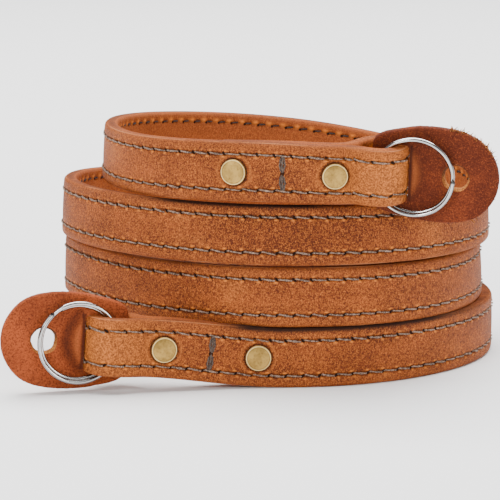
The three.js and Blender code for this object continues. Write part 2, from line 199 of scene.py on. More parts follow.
# Lug guards: length under the loop, lug hole from the loop's end, gap of the slot's edge to the
# loop, rounding of the edges, slices along, cells across, points round the lug hole
GUARD_UNDER = 8.2
LUG_PLACE = 9.1
SLOT_GAP = 0.35
GUARD_EDGE = 0.5
GUARD_SLICES = 84
GUARD_CELLS = 60
LUG_POINTS = 48

# Torn fibres of the upper guard: side, span along the guard as shares, count
FIBRES = ((1, 0.03, 0.42, 90), (-1, 0.02, 0.2, 8))

# Lights, in metres and watts: name, place, aim, side of the square, power
LIGHTS = (
    ("top", (0.0, 0.45, 1.4), (0, 0.35, 0), 1.8, 85.0),
    ("key", (-0.6, -0.95, 0.5), (0, 0, 0.03), 0.4, 8.0),
    ("fill", (0.8, -0.7, 0.3), (0, 0, 0.03), 0.4, 4.0),
)

# Camera: place round the coil's axis, tilt from straight down, focal length in sensor widths
CAMERA_PLACE = (-7.24, -600.0, 122.58)
CAMERA_TILT = 80.46
CAMERA_LENS = 5.366


def linear(red, green, blue):
    """A colour of 0 to 255 a channel as the linear values that a shader takes."""
    out = []
    for value in (red, green, blue):
        c = value / 255
        out.append(c / 12.92 if c <= 0.04045 else ((c + 0.055) / 1.055) ** 2.4)
    return (*out, 1.0)


# Sizes and finishes that a user would change


def length_prop(name, description, millimetres):
    return FloatProperty(name=name, description=description, default=millimetres * MM,
                         unit="LENGTH")


def colour_prop(name, description, rgb):
    return FloatVectorProperty(name=name, description=description, subtype="COLOR", size=4,
                               min=0, max=1, default=linear(*rgb))


class StrapSizes(bpy.types.PropertyGroup):
    """Sizes of the strap's own parts."""

    width: length_prop("Width", "Width of the band", 12.7)
    thickness: length_prop("Thickness", "Thickness of the band", 3.0)
    edge: length_prop("Edge", "Radius of the burnished edges", 0.9)
    coil: length_prop("Coil", "Radius of the coil", 46.0)
    pitch: length_prop("Stitch pitch", "Distance between stitch holes", 3.5)
    inset: length_prop("Stitch inset", "Stitch line to the band's edge", 2.6)
    thread: length_prop("Thread", "Width of the thread", 0.48)
    cap: length_prop("Rivet cap", "Diameter of a rivet cap", 5.5)
    ring: length_prop("Ring", "Outside diameter of a split ring", 17.1)
    wire: length_prop("Ring wire", "Diameter of the ring's wire", 0.88)
    guard_length: length_prop("Guard length", "Length of a lug guard", 26.7)
    guard_height: length_prop("Guard height", "Height of a lug guard", 20.6)
    guard_thickness: length_prop("Guard thickness", "Leather of a lug guard", 1.9)
    lug_hole: length_prop("Lug hole", "Diameter of the lug hole", 5.3)
    seed: IntProperty(name="Seed", description="Seed of the small irregularities", default=7,
                      min=0, subtype="UNSIGNED")


class StrapFinish(bpy.types.PropertyGroup):
    """Colours of the finishes."""

    tan: colour_prop("Tan", "Main colour of the band's leather", (158, 77, 34))
    deep: colour_prop("Deep tan", "Colour of the leather where oil has gathered", (96, 37, 17))
    # Pulled tan is also the painted highlight round the rivets
    pulled: colour_prop("Pulled tan", "Colour of the leather where it is stretched", (196, 112, 50))
    rim: colour_prop("Rim", "Colour of the margins and burnished edges", (140, 68, 32))
    guard: colour_prop("Guard", "Main colour of the lug guards", (160, 75, 37))
    guard_deep: colour_prop("Guard shade", "Darker colour of the lug guards", (90, 37, 18))
    raw: colour_prop("Raw leather", "Colour of cut leather in the lug holes", (232, 152, 76))
    # Thread shade is also the painted shade of the whole thread on the inner face
    thread: colour_prop("Thread", "Colour of the waxed thread", (154, 124, 104))
    thread_dark: colour_prop("Thread shade", "Darker strands of the thread", (34, 25, 22))
    brass: colour_prop("Brass", "Antique brass of the rivet caps", (176, 142, 76))
    brass_dark: colour_prop("Brass shade", "Tarnish on the rivet caps", (112, 84, 42))
    nickel: colour_prop("Nickel", "Plate of the split rings", (192, 190, 188))


# Node trees


class Wire:
    """One output socket of a node tree; arithmetic on wires adds the Math nodes for it."""

    def __init__(self, tree, socket):
        self.tree = tree
        self.socket = socket

    def math(self, operation, *values):
        return add_node(self.tree, "ShaderNodeMath", {"operation": operation},
                        dict(enumerate((self, *values))))

    def __add__(self, other):
        return self.math("ADD", other)

    __radd__ = __add__

    def __sub__(self, other):
        return self.math("SUBTRACT", other)

    def __rsub__(self, other):
        return add_node(self.tree, "ShaderNodeMath", {"operation": "SUBTRACT"}, {0: other, 1: self})

    def __mul__(self, other):
        return self.math("MULTIPLY", other)

    __rmul__ = __mul__

    def __truediv__(self, other):
        return self.math("DIVIDE", other)

    def __rtruediv__(self, other):
        return add_node(self.tree, "ShaderNodeMath", {"operation": "DIVIDE"}, {0: other, 1: self})

    def __pow__(self, other):
        return self.math("POWER", other)

    def __abs__(self):
        return self.math("ABSOLUTE")

    def ramp(self, low, high):
        """A soft step of this value, from 0 at low to 1 at high."""
        return add_node(self.tree, "ShaderNodeMapRange", {"interpolation_type": "SMOOTHSTEP"},
                        {0: self, 1: low, 2: high, 3: 0.0, 4: 1.0})

    def hump(self, centre, half):
        """1 at the centre, falling softly to 0 at half a width from it."""
        return abs(self - centre).ramp(half, 0.0)

    def cell(self, size):
        """Signed distance to the nearest of the places that repeat at this size."""
        return ((self / size + 0.5).math("FRACT") - 0.5) * size


def add_node(tree, kind, settings=None, inputs=None, output=0):
    """Adds a node with its settings and its socket values or links, and returns one output."""
    node = tree.nodes.new(kind)
    for name, value in (settings or {}).items():
        if name == "points":
            curve = node.mapping.curves[0]
            while len(curve.points) < len(value):
                curve.points.new(0.5, 0.5)
            for point, place in zip(curve.points, value):
                point.location = place
                point.handle_type = "VECTOR"
            node.mapping.update()
        else:
            setattr(node, name, value)
    for key, value in (inputs or {}).items():
        if isinstance(value, Wire):
            tree.links.new(value.socket, node.inputs[key])
        else:
            node.inputs[key].default_value = value
    return Wire(tree, node.outputs[output])


def vector_of(tree, x=0.0, y=0.0, z=0.0):
    return add_node(tree, "ShaderNodeCombineXYZ", None, {0: x, 1: y, 2: z})


def parts_of(tree, vector):
    """The three parts of a vector, each as a wire."""
    node = add_node(tree, "ShaderNodeSeparateXYZ", None, {0: vector}).socket.node
    return [Wire(tree, socket) for socket in node.outputs]


def mixed(tree, factor, first, second):
    return add_node(tree, "ShaderNodeMix", {"data_type": "RGBA"},
                    {0: factor, 6: first, 7: second}, 2)


def layered(tree, colour, *layers):
    """A base colour with further colours laid over it in order, each by its own mask."""
    for mask, tint in layers:
        colour = mixed(tree, mask, colour, tint)
    return colour


def noise(tree, place, scale, detail=2.0, rough=0.5):
    return add_node(tree, "ShaderNodeTexNoise", None,
                    {"Vector": place, "Scale": scale, "Detail": detail, "Roughness": rough})


def read(tree, *names):
    """Wires of a surface's named attributes."""
    wires = [add_node(tree, "ShaderNodeAttribute", {"attribute_name": name}, None, 2)
             for name in names]
    return wires if len(wires) > 1 else wires[0]


def object_mm(tree):
    """Place on the object in millimetres."""
    place = add_node(tree, "ShaderNodeTexCoord", None, None, 3)
    return add_node(tree, "ShaderNodeVectorMath", {"operation": "SCALE"},
                    {0: place, "Scale": 1000.0})


def new_material(name, **constants):
    """A material, its tree and its shader, with the constant sockets set on the shader itself."""
    material = bpy.data.materials.new(name)
    material.use_nodes = True
    tree = material.node_tree
    shader = tree.nodes["Principled BSDF"]
    for key, value in constants.items():
        shader.inputs[key.replace("_", " ")].default_value = value
    return material, tree, shader


def feed(tree, shader, colour, rough, height):
    """Links a shader's colour, its roughness and its relief in millimetres."""
    relief_of = add_node(tree, "ShaderNodeBump", None,
                         {"Strength": 1.0, "Distance": MM, "Height": height})
    for name, wire in (("Base Color", colour), ("Roughness", rough), ("Normal", relief_of)):
        tree.links.new(wire.socket, shader.inputs[name])


# Finishes


def band_leather(sizes, finish, tack_places):
    """Oiled tan leather, laid out along the band, with stitch holes and puckers, and painted shade
    and highlights on its edges, seams, holes and rivets.
    """
    material, tree, shader = new_material("tan_leather", Specular_IOR_Level=0.13)
    along, across, face = read(tree, "along", "across", "face")
    pulled, rivet, tone, shaded = read(tree, "pulled", "rivet", "tone", "shaded")
    half = sizes.width / MM / 2
    line = half - sizes.inset / MM
    reach = abs(across)
    inner = face.ramp(0.2, -0.2)
    outer = 1 - inner
    margin = reach.ramp(line + 0.1, line + 0.7)
    edge = reach.ramp(half - 0.7, half - 0.05)
    flat = 1 - edge * 0.15

    # Cloudy tone, grain, creases, the line between the plies, and a painted highlight along the
    # edge
    place = vector_of(tree, along, across, face * 3)
    cloud = noise(tree, place, 0.075, 4, 0.55)
    patch = noise(tree, vector_of(tree, along * 0.6, across * 1.5, face * 2 + 9), 0.16, 4, 0.6)
    crease = noise(tree, vector_of(tree, along * 2.3, across * 0.9, face), 1.0, 3, 0.65)
    grain = noise(tree, vector_of(tree, along * 1.15, across * 0.9, face * 3), 3.1, 3, 0.7)
    fine = noise(tree, place, 5.4, 2, 0.6)
    worn = noise(tree, place, 0.045, 2, 0.5).ramp(0.42, 0.62).math("MAXIMUM", tone.ramp(0.5, 0.15))
    shade = cloud.ramp(0.37, 0.63) * 0.34 + patch.ramp(0.34, 0.66) * 0.42 + tone * 0.60 - 0.18
    speck = grain.ramp(0.36, 0.64)
    creased = crease.ramp(0.53, 0.38) * (worn * 0.65 + 0.2) * flat
    plies = face.hump(0, 0.34) * edge * patch.ramp(0.35, 0.6)
    # Painted highlight along the rounded edge of the outer face
    glint = face.hump(0.55, 0.2) * edge * cloud.ramp(0.4, 0.6)
    shadow = shaded * across.ramp(line + 1.2, half - 0.3)

    # Stitch line, its holes and its groove painted dark as the shade in them, and the leather that
    # they pull up painted with a highlight
    phase = along.cell(sizes.pitch / MM)
    side = reach - line - inner * INNER_SHIFT
    # Painted shade along the stitch groove
    seam = side.hump(0, 0.6)
    # Painted shade in the holes of the outer stitches and the pits of the inner ones
    hole = ((phase - side * 0.55).hump(0, 0.46) * side.hump(0, 0.62)).ramp(0.14, 0.42) * outer
    pit = (phase.hump(0.75, 0.5) * side.hump(-0.25, 0.45)).ramp(0.1, 0.5) * inner
    # Painted highlight on the leather that the outer stitches pull up
    pucker = phase.hump(0.30, 0.65) * side.hump(-0.60, 0.42) * outer
    pucker = pucker + phase.hump(-0.45, 0.55) * side.hump(0.60, 0.42) * outer * 0.7
    # Painted highlight on the ridges that the inner stitches pull up
    ridge = phase.hump(0, 1.15) * side.hump(0.30, 0.85) * inner

    # Holes of the bar tacks, painted dark as the shade inside them
    tack = along.hump(tack_places[0], 0.62)
    for spot in tack_places[1:]:
        tack = tack.math("MAXIMUM", along.hump(spot, 0.62))
    rows = (across / (line - 0.1)).cell(1).hump(0, 0.19) * reach.ramp(line + 0.5, line + 0.1)
    punched = (tack * rows).ramp(0.1, 0.35)
    # Painted shade of all the holes together
    dark = hole.math("MAXIMUM", punched).math("MAXIMUM", pit)

    colour = layered(
        tree, mixed(tree, shade, finish.deep, finish.tan),
        (pulled * 0.92, finish.pulled),
        (cloud.ramp(0.56, 0.74) * 0.5, finish.pulled),
        (margin * 0.45, finish.rim),
        (edge * 0.45, finish.rim),
        ((1 - speck) * flat * 0.66, linear(54, 19, 8)),
        (speck * fine.ramp(0.42, 0.58) * flat * 0.60, linear(222, 130, 52)),
        (creased * 0.7, linear(62, 22, 12)),
        (inner * 0.35, linear(176, 92, 46)),
        (plies * 0.6, linear(52, 24, 15)),
        (glint * 0.35, linear(224, 158, 112)),
        (shadow * 0.94, linear(20, 9, 6)),
        (ridge * 0.9, linear(236, 132, 44)),
        (pucker * 0.75, linear(232, 134, 52)),
        (seam * (0.60 - inner * 0.23), linear(38, 17, 10)),
        (dark * 0.90, linear(18, 10, 7)),
        # Painted shade in a dark ring at the edge of each rivet cap, and a painted highlight ring
        # on the rim of its dimple, in the stretched colour
        (rivet.hump(2.85, 0.45) * 0.7, linear(30, 14, 10)),
        (rivet.hump(3.7, 0.5) * 0.3, finish.pulled))
    rough = 0.56 - cloud * 0.10 + grain * 0.20 + edge * 0.14 + dark * 0.2
    height = grain * 0.17 + fine * 0.08 + crease * worn * 0.14 - plies * 0.12
    height = height + pucker * 0.14 - dark * 0.35 - seam * 0.06
    feed(tree, shader, colour, rough, height)
    return material


def guard_leather(finish):
    """Fine-grained red-brown leather with a soft nap."""
    material, tree, shader = new_material("guard_leather", Specular_IOR_Level=0.13)
    place = object_mm(tree)
    cloud = noise(tree, place, 0.11, 3, 0.5)
    grain = noise(tree, place, 2.7, 4, 0.75)
    fine = noise(tree, place, 5.0, 2, 0.6)
    # Painted light: the guards are lighter toward the left and darker toward the right, over a
    # cloudy tone
    right = parts_of(tree, place)[0].ramp(-20, 20)
    hollow, brow = read(tree, "hollow", "brow")
    lit = cloud.ramp(0.30, 0.66) * 0.55 + 0.45 - right * 0.80
    colour = layered(
        tree, mixed(tree, lit, finish.guard_deep, finish.guard),
        (grain.ramp(0.54, 0.38) * 0.66, linear(60, 21, 11)),
        ((grain * fine).ramp(0.27, 0.40) * 0.30, linear(200, 104, 54)),
        (brow * 0.3, linear(200, 110, 52)),
        (hollow * 0.72, linear(48, 17, 9)))
    feed(tree, shader, colour, 0.70 + grain * 0.15, grain * 0.13 + fine * 0.06)
    return material


def raw_leather(finish):
    """Cut face of the leather, pale and fibrous, with painted shade where it faces down."""
    material, tree, shader = new_material("raw_leather", Specular_IOR_Level=0.2)
    place = object_mm(tree)
    fibre = noise(tree, place, 4.0, 4, 0.75)
    layer = noise(tree, place, 1.1, 2, 0.5)
    facing = add_node(tree, "ShaderNodeNewGeometry", None, None, 1)
    # Painted shade on the cut faces that point down
    under = parts_of(tree, facing)[2].ramp(0.35, -0.35)
    colour = layered(
        tree, mixed(tree, fibre.ramp(0.35, 0.65), linear(130, 66, 28), finish.raw),
        (layer.ramp(0.6, 0.4) * 0.3, linear(110, 54, 26)),
        (under * 0.85, linear(62, 24, 12)))
    feed(tree, shader, colour, 0.85 + fibre * 0.1, fibre * 0.2)
    return material


def waxed_thread(finish, name, dark):
    """Taupe waxed thread with lighter and darker strands, darkened as a whole by a share, which on
    the inner face is painted shade.
    """
    material, tree, shader = new_material(name, Specular_IOR_Level=0.35)
    place = object_mm(tree)
    strand = noise(tree, place, 3.2, 3, 0.7)
    lint = noise(tree, place, 9.0, 2, 0.6)
    colour = layered(
        tree, mixed(tree, strand.ramp(0.38, 0.60), finish.thread_dark, finish.thread),
        (lint.ramp(0.52, 0.7) * 0.5, linear(198, 172, 152)),
        # Darkened as a whole: on the inner face, painted shade
        (dark, finish.thread_dark))
    feed(tree, shader, colour, 0.42 + strand * 0.2, strand * 0.12 + lint * 0.05)
    return material


def antique_brass(finish):
    """Brass with tarnish in its hollows, and a rim rubbed bright and painted with a highlight."""
    material, tree, shader = new_material("antique_brass", IOR=1.5, Metallic=1.0)
    place = object_mm(tree)
    rim = read(tree, "rim")
    cloud = noise(tree, place, 0.55, 3, 0.6)
    stain = noise(tree, place, 2.4, 3, 0.6)
    scratch = noise(tree, place, 11.0, 2, 0.5)
    tarnish = cloud.ramp(0.35, 0.65) * 0.5 + stain.ramp(0.5, 0.7) * 0.3
    colour = layered(
        tree, mixed(tree, tarnish, finish.brass, finish.brass_dark),
        # Painted highlight on the rubbed rim, then tarnish in the groove inside it
        (rim.hump(0.93, 0.06) * 0.75, linear(232, 206, 146)),
        (rim.hump(0.84, 0.05) * 0.45, finish.brass_dark))
    feed(tree, shader, colour, 0.34 + stain * 0.2, stain * 0.02 + scratch * 0.006)
    return material


def bright_nickel(finish):
    """Plated wire with faint handling marks, painted shade in dark lines where its windings meet,
    and dark at its ends.
    """
    material, tree, shader = new_material("bright_nickel", Metallic=1.0)
    place = object_mm(tree)
    haze = noise(tree, place, 0.9, 3, 0.6)
    scratch = noise(tree, place, 7.0, 2, 0.5)
    around, reach = read(tree, "round", "reach")
    turn = (around * 4).math("FRACT")
    ends = reach.ramp(0.006, 0.002).math("MAXIMUM", reach.ramp(0.994, 0.998))
    colour = layered(
        tree, mixed(tree, haze.ramp(0.5, 0.75) * 0.35, finish.nickel, linear(132, 130, 128)),
        # Painted shade: dark lines along the wire where its windings meet
        (turn.hump(0.5, 0.20) * 0.88, linear(38, 36, 36)),
        (ends * 0.9, linear(20, 19, 19)))
    feed(tree, shader, colour, 0.09 + haze * 0.14, scratch * 0.004)
    return material


# Route of the band


def unit(v):
    return v / np.linalg.norm(v)


def soft(t):
    """A soft step from 0 to 1."""
    c = np.clip(t, 0, 1)
    return c * c * (3 - 2 * c)


def swell(off, centre, spread):
    """1 at the centre, falling away on both sides."""
    return np.exp(-((off - centre) / spread) ** 2)


def cubic(t, start, start_slope, end, end_slope, run):
    """Value at a share t of a run, on the cubic through its ends with their slopes."""
    return ((2 * t**3 - 3 * t**2 + 1) * start + (t**3 - 2 * t**2 + t) * run * start_slope
            + (3 * t**2 - 2 * t**3) * end + (t**3 - t**2) * run * end_slope)


def along_rows(rows, column, at, level=False):
    """Value of one column at any place, on cubic pieces; a level run of rows can stay level."""
    last = len(rows) - 1

    def slope(i):
        a, b = rows[max(i - 1, 0)], rows[min(i + 1, last)]
        if level and 0 < i < last:
            if (rows[i][column] - a[column]) * (b[column] - rows[i][column]) <= 0:
                return 0.0
        return (b[column] - a[column]) / (b[0] - a[0])

    i = int(np.clip(np.searchsorted(rows[:, 0], at, side="left") - 1, 0, last - 1))
    run = rows[i + 1][0] - rows[i][0]
    return cubic((at - rows[i][0]) / run, rows[i][column], slope(i), rows[i + 1][column],
                 slope(i + 1), run)


class Band:
    """The band's sections, worked out in millimetres round the coil's axis."""

    def __init__(self, sizes):
        self.width = sizes.width / MM
        self.thickness = sizes.thickness / MM
        self.radius = sizes.coil / MM
        self.turn = self.width + TURN_GAP
        self.tail = -(self.thickness + PLY_GAP)
        coil = self.coil_frames()
        first = dict(coil[0], forward=-coil[0]["forward"])
        self.runs = {"upper": coil, "lower": coil[::-1]}
        self.loops, self.spots, ends = {}, {}, {}
        for name, base in (("upper", first), ("lower", coil[-1])):
            ends[name] = self.end_sections(name, base)
        rows = ends["upper"][::-1] + [(f["mid"], f["out"], f["up"]) for f in coil] + ends["lower"]
        self.mid, self.out, self.up = (np.array([row[i] for row in rows]) for i in range(3))
        steps = np.linalg.norm(np.diff(self.mid, axis=0), axis=1)
        self.knots = np.concatenate([[0], np.cumsum(steps)])
        self.length = self.knots[-1]
        self.counts = (len(ends["upper"]), len(coil), len(ends["lower"]))
        self.narrow_ends()
        self.shift = self.to_row_frame()

    def narrow_ends(self):
        """Narrows the band over the run up to each loop."""
        marks = self.marks()
        for name, way in (("upper", -1), ("lower", 1)):
            ahead, fork = way * (self.knots - marks[name + "_fork"]), ENDS[name]["fork"]
            slim = 1 - ENDS[name]["slim"] * soft((ahead + SLIM_RUN) / (SLIM_RUN + fork))
            front = (ahead > -SLIM_RUN) & (ahead < fork)
            size = np.linalg.norm(self.up, axis=1)
            self.up[front] *= (slim / size)[front, None]

    def edge_point(self, angle):
        """Point of the band's lower edge at an angle round the coil."""
        radius = along_rows(ROUTE, 1, angle) * self.radius
        height = along_rows(ROUTE, 2, angle, True) * self.turn
        return np.array([-radius * math.sin(angle * RAD), -radius * math.cos(angle * RAD), height])

    def frame_at(self, edge, forward, lean):
        """Section of the band over a point of its edge, leaning toward the axis."""
        flat = unit(np.array([forward[0], forward[1], 0]))
        side = np.array([flat[1], -flat[0], 0])
        if side @ np.array([edge[0], edge[1], 0]) < 0:
            side = -side
        rise = unit(np.array([0, 0, 1.0]) - forward[2] * forward)
        up = rise * math.cos(lean) - side * math.sin(lean)
        out = side * math.cos(lean) + rise * math.sin(lean)
        return {"mid": edge + up * self.width / 2, "forward": forward, "out": out, "up": up}

    def coil_frames(self):
        """Sections round the coil and on along the lower end."""
        first, last, small = ROUTE[0][0], ROUTE[-1][0], 0.2
        count = round((last - first) / COIL_STEP)
        frames = []
        for i in range(count + 1):
            angle = first + (last - first) * i / count
            forward = unit(self.edge_point(min(angle + small, last))
                           - self.edge_point(max(angle - small, first)))
            lean = along_rows(ROUTE, 3, angle) * RAD
            frame = self.frame_at(self.edge_point(angle), forward, lean)
            sag = soft(1 - (angle - first) / SAG_RUN) * ENDS["upper"]["drop"]
            frames.append(dict(frame, mid=frame["mid"] - frame["up"] * sag))
        edge = self.edge_point(last)
        step = self.edge_point(last) - self.edge_point(last - small)
        heading = math.atan2(step[1], step[0])
        run = LOWER_RUN / LOWER_STEPS
        for i in range(1, LOWER_STEPS + 1):
            t = i / LOWER_STEPS
            turn = heading + LOWER_TURN * RAD * soft(t * 2)
            height = LOWER_RISE * soft(t) + LOWER_CLIMB * LOWER_RUN * (t**3 - t**2)
            edge = np.array([edge[0] + run * math.cos(turn), edge[1] + run * math.sin(turn),
                             height])
            climb = 6 * LOWER_RISE / LOWER_RUN * (t - t**2) + LOWER_CLIMB * (3 * t**2 - 2 * t)
            forward = unit(np.array([math.cos(turn), math.sin(turn), climb]))
            frames.append(self.frame_at(edge, forward, 0))
        return frames

    def loop_shape(self, end):
        """Loop of one end in its own plane: x along the band from the fork, y outward."""
        turn = end["turn"] * RAD
        e = np.array([math.cos(turn), math.sin(turn)])
        n = np.array([-math.sin(turn), math.cos(turn)])
        front = np.array([end["fork"], end["bulge"]])
        centre = front + e * FOLD_STRAIGHT - n * FOLD
        back = front - 2 * n * FOLD

        def curve(a, ta, b, tb, t):
            k = np.linalg.norm(b - a)
            to = ((6 * t**2 - 6 * t) * a + (3 * t**2 - 4 * t + 1) * k * ta
                  + (6 * t - 6 * t**2) * b + (3 * t**2 - 2 * t) * k * tb)
            return cubic(t, a, ta, b, tb, k), unit(to)

        ahead, fork = np.array([1.0, 0.0]), np.zeros(2)
        shape = [(*curve(fork, ahead, front, e, i / OUT_STEPS), soft(i / OUT_STEPS), 0)
                 for i in range(1, OUT_STEPS + 1)]
        for i in range(FOLD_STEPS + 1):
            a = math.pi * i / FOLD_STEPS
            c, s = math.cos(a), math.sin(a)
            shape.append((centre + FOLD * (n * c + e * s), e * c - n * s, 1, 0))
        home = np.array([-0.3, self.tail])
        for i in range(BACK_STEPS + 1):
            t = i / BACK_STEPS
            shape.append((*curve(back, -e, home, -ahead, t), 1 - soft(t), soft(t)))
        return shape, centre, e, n

    def end_sections(self, name, base):
        """Sections of one loop and of its tail on the back of the band."""
        end = ENDS[name]
        shape, centre, e, n = self.loop_shape(end)

        def leaned(share):
            lean = end["lean"] * RAD * share
            return (base["out"] * math.cos(lean) + base["up"] * math.sin(lean),
                    base["up"] * math.cos(lean) - base["out"] * math.sin(lean))

        sections = []
        for at, to, share, back in shape:
            out, up = leaned(share)
            mid = base["mid"] + base["forward"] * at[0] + out * at[1] + up * (end["drop"] * share)
            narrow = 1 - end["slim"] * share - TAIL_NARROWING * back
            sections.append((mid, unit(out * to[0] - base["forward"] * to[1]), up * narrow))
        self.loops[name] = centre[0] + FOLD + self.thickness / 2
        for mid, out, up in self.frames_back(name, TAIL_REACH - self.loops[name]):
            sections.append((mid + out * self.tail, -out, up * (1 - TAIL_NARROWING)))
        out, up = leaned(1)
        self.spots[name] = (
            base["mid"] + base["forward"] * centre[0] + out * centre[1] + up * end["drop"],
            base["forward"] * e[0] + out * e[1], base["forward"] * n[0] + out * n[1], up)
        return sections

    def frames_back(self, name, limit):
        """Sections of the band from one fork back to a distance from it."""
        frames, kept, run = self.runs[name], [], 0
        for a, b in zip(frames, frames[1:]):
            run += np.linalg.norm(b["mid"] - a["mid"])
            if run > limit:
                break
            kept.append((b["mid"], b["out"], b["up"]))
        return kept + [self.frame_back(name, limit)]

    def frame_back(self, name, distance):
        """Middle, face normal and up of the band at a distance back from the fork of one end."""
        frames, run = self.runs[name], 0
        for a, b in zip(frames, frames[1:]):
            step = np.linalg.norm(b["mid"] - a["mid"])
            if run + step >= distance:
                t = (distance - run) / step
                mix = [a[k] * (1 - t) + b[k] * t for k in ("mid", "out", "up")]
                return mix[0], unit(mix[1]), unit(mix[2])
            run += step
        raise ValueError("the band is shorter than its tail")

    def station(self, name, reach):
        """Middle, face normal and up of the band at a distance from the end of one loop."""
        return self.frame_back(name, reach - self.loops[name])

    def to_row_frame(self):
        """Offset that brings the band onto its solid."""
        half, wide, r = self.thickness / 2, self.width / 2, SOLID_EDGE
        ring = [(sx * (half - r) + r * math.cos(a), sy * (wide - r) + r * math.sin(a))
                for sx, sy, start in ((1, 1, 0), (-1, 1, 90), (-1, -1, 180), (1, -1, 270))
                for a in ((start + 45 * i) * RAD for i in range(3))]
        points = np.concatenate([self.mid + self.out * x + self.up * y for x, y in ring])
        low, high = points.min(0), points.max(0)
        cad_low, cad_high = (np.array(corner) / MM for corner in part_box("strap"))
        middle = (cad_low + cad_high) / 2 - (low + high) / 2
        return np.array([middle[0], middle[1], cad_low[2] - low[2]])

    def at(self, s):
        """Middle, face normal and up at distances along the band, on cubic pieces."""
        s = np.atleast_1d(s)
        i = np.clip(np.searchsorted(self.knots, s, side="right") - 1, 0, len(self.knots) - 2)
        run = (self.knots[i + 1] - self.knots[i])[:, None]
        t = (s - self.knots[i])[:, None] / run
        result = []
        for rows in (self.mid, self.out, self.up):
            slopes = np.gradient(rows, self.knots, axis=0)
            result.append(cubic(t, rows[i], slopes[i], rows[i + 1], slopes[i + 1], run))
        mid, out, up = result
        return mid, out / np.linalg.norm(out, axis=1)[:, None], up

    def place_of(self, point):
        """Distance along the band of the place nearest a point."""
        s = np.linspace(0, self.length, 6000)
        return s[np.argmin(np.linalg.norm(self.at(s)[0] - point, axis=1))]

    def marks(self):
        """Places along the band of the forks, folds and tails of both ends."""
        upper = self.counts[0]
        lower = upper + self.counts[1] - 1
        rows = {"fork": 0, "fold": LOOP_ROWS // 2, "home": LOOP_ROWS}
        return {f"{name}_{mark}": self.knots[start + way * row] for mark, row in rows.items()
                for name, start, way in (("upper", upper, -1), ("lower", lower, 1))}

    def coil_places(self):
        """Angles of the coil's sections and their distances along the band."""
        first, count = self.counts[0], self.counts[1] - LOWER_STEPS
        return np.linspace(ROUTE[0][0], ROUTE[-1][0], count), self.knots[first:first + count]

    def place_at(self, angle):
        """Distance along the band at an angle round the coil."""
        angles, places = self.coil_places()
        return np.interp(angle, angles, places)

    def tone(self, s):
        """Tone of the leather at distances along the band."""
        angles, places = self.coil_places()
        return np.interp(np.interp(s, places, angles), TONES[:, 0], TONES[:, 1])

    def row(self, points):
        """Points round the coil's axis in millimetres as points of the row frame in metres."""
        return (np.asarray(points) + self.shift) * MM


def spot_matrix(band, name):
    """Axes of one loop, from the centre of its fold, in the row frame."""
    centre, e, n, w = band.spots[name]
    matrix = Matrix.Identity(4)
    for column, axis in enumerate((e, n, w)):
        for row in range(3):
            matrix[row][column] = axis[row]
    for row, value in enumerate(band.row(centre)):
        matrix[row][3] = value
    return matrix


# Meshes and objects


def in_scene(name, data):
    """A new object of this data, in the scene."""
    obj = bpy.data.objects.new(name, data)
    bpy.context.scene.collection.objects.link(obj)
    return obj


def mesh_object(name, points, faces=(), material=None, smooth=True, edges=()):
    mesh = bpy.data.meshes.new(name)
    mesh.from_pydata([tuple(p) for p in points], list(edges), list(faces))
    mesh.update()
    if smooth and faces:
        mesh.polygons.foreach_set("use_smooth", [True] * len(mesh.polygons))
    if material:
        mesh.materials.append(material)
    return in_scene(name, mesh)


def tube_faces(rows, ring):
    """Faces of a tube of rings of points, with both ends closed."""
    faces = [(i * ring + j, i * ring + (j + 1) % ring, (i + 1) * ring + (j + 1) % ring,
              (i + 1) * ring + j) for i in range(rows - 1) for j in range(ring)]
    return faces + [tuple(range(ring))[::-1], tuple((rows - 1) * ring + j for j in range(ring))]


def set_floats(mesh, **columns):
    """Stores a number on every point under each name."""
    for name, values in columns.items():
        data = mesh.attributes.new(name, "FLOAT", "POINT").data
        data.foreach_set("value", np.asarray(values, np.float32))


def set_vectors(mesh, **columns):
    """Stores a vector on every point under each name."""
    for name, values in columns.items():
        data = mesh.attributes.new(name, "FLOAT_VECTOR", "POINT").data
        data.foreach_set("vector", np.asarray(values, np.float32).ravel())


def faces_out(mesh):
    """Merges doubles and turns every face outward."""
    work = bmesh.new()
    work.from_mesh(mesh)
    bmesh.ops.remove_doubles(work, verts=work.verts, dist=1e-7)
    bmesh.ops.recalc_face_normals(work, faces=work.faces)
    work.to_mesh(mesh)
    work.free()
    mesh.update()


def mark_sharp(mesh, degrees):
    """Keeps the edges hard where faces meet at more than this angle."""
    work = bmesh.new()
    work.from_mesh(mesh)
    for edge in work.edges:
        if len(edge.link_faces) == 2 and edge.calc_face_angle(0) > degrees * RAD:
            edge.smooth = False
    work.to_mesh(mesh)
    work.free()


def finish_piece(piece, slot, *nodes):
    """Cleans and smooths a piece, hangs it on its body, and hides the nodes that it stands for; the
    slot is not used.
    """
    faces_out(piece.data)
    piece.data.polygons.foreach_set("use_smooth", [True] * len(piece.data.polygons))
    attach(piece, "root")
    if nodes:
        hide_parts(*nodes)


def evaluated_mesh(obj):
    """The plain mesh that an object's modifiers make."""
    graph = bpy.context.evaluated_depsgraph_get()
    graph.update()
    return bpy.data.meshes.new_from_object(obj.evaluated_get(graph))


def baked(name, source, tree, values):
    """The mesh that a node tree makes from an object, as a plain object; the source goes."""
    modifier = source.modifiers.new(tree.name, "NODES")
    modifier.node_group = tree
    sockets = {item.name: item.identifier for item in tree.interface.items_tree
               if item.item_type == "SOCKET" and item.in_out == "INPUT"}
    for key, value in values.items():
        modifier[sockets[key]] = value
    source.update_tag()
    mesh = evaluated_mesh(source)
    source.modifiers.clear()
    bpy.data.objects.remove(source)
    mesh.name = name
    if not mesh.polygons:
        raise ValueError(f"{name} came out empty")
    return in_scene(name, mesh)


# Geometry trees

FLOAT, INT, MATERIAL = "NodeSocketFloat", "NodeSocketInt", "NodeSocketMaterial"


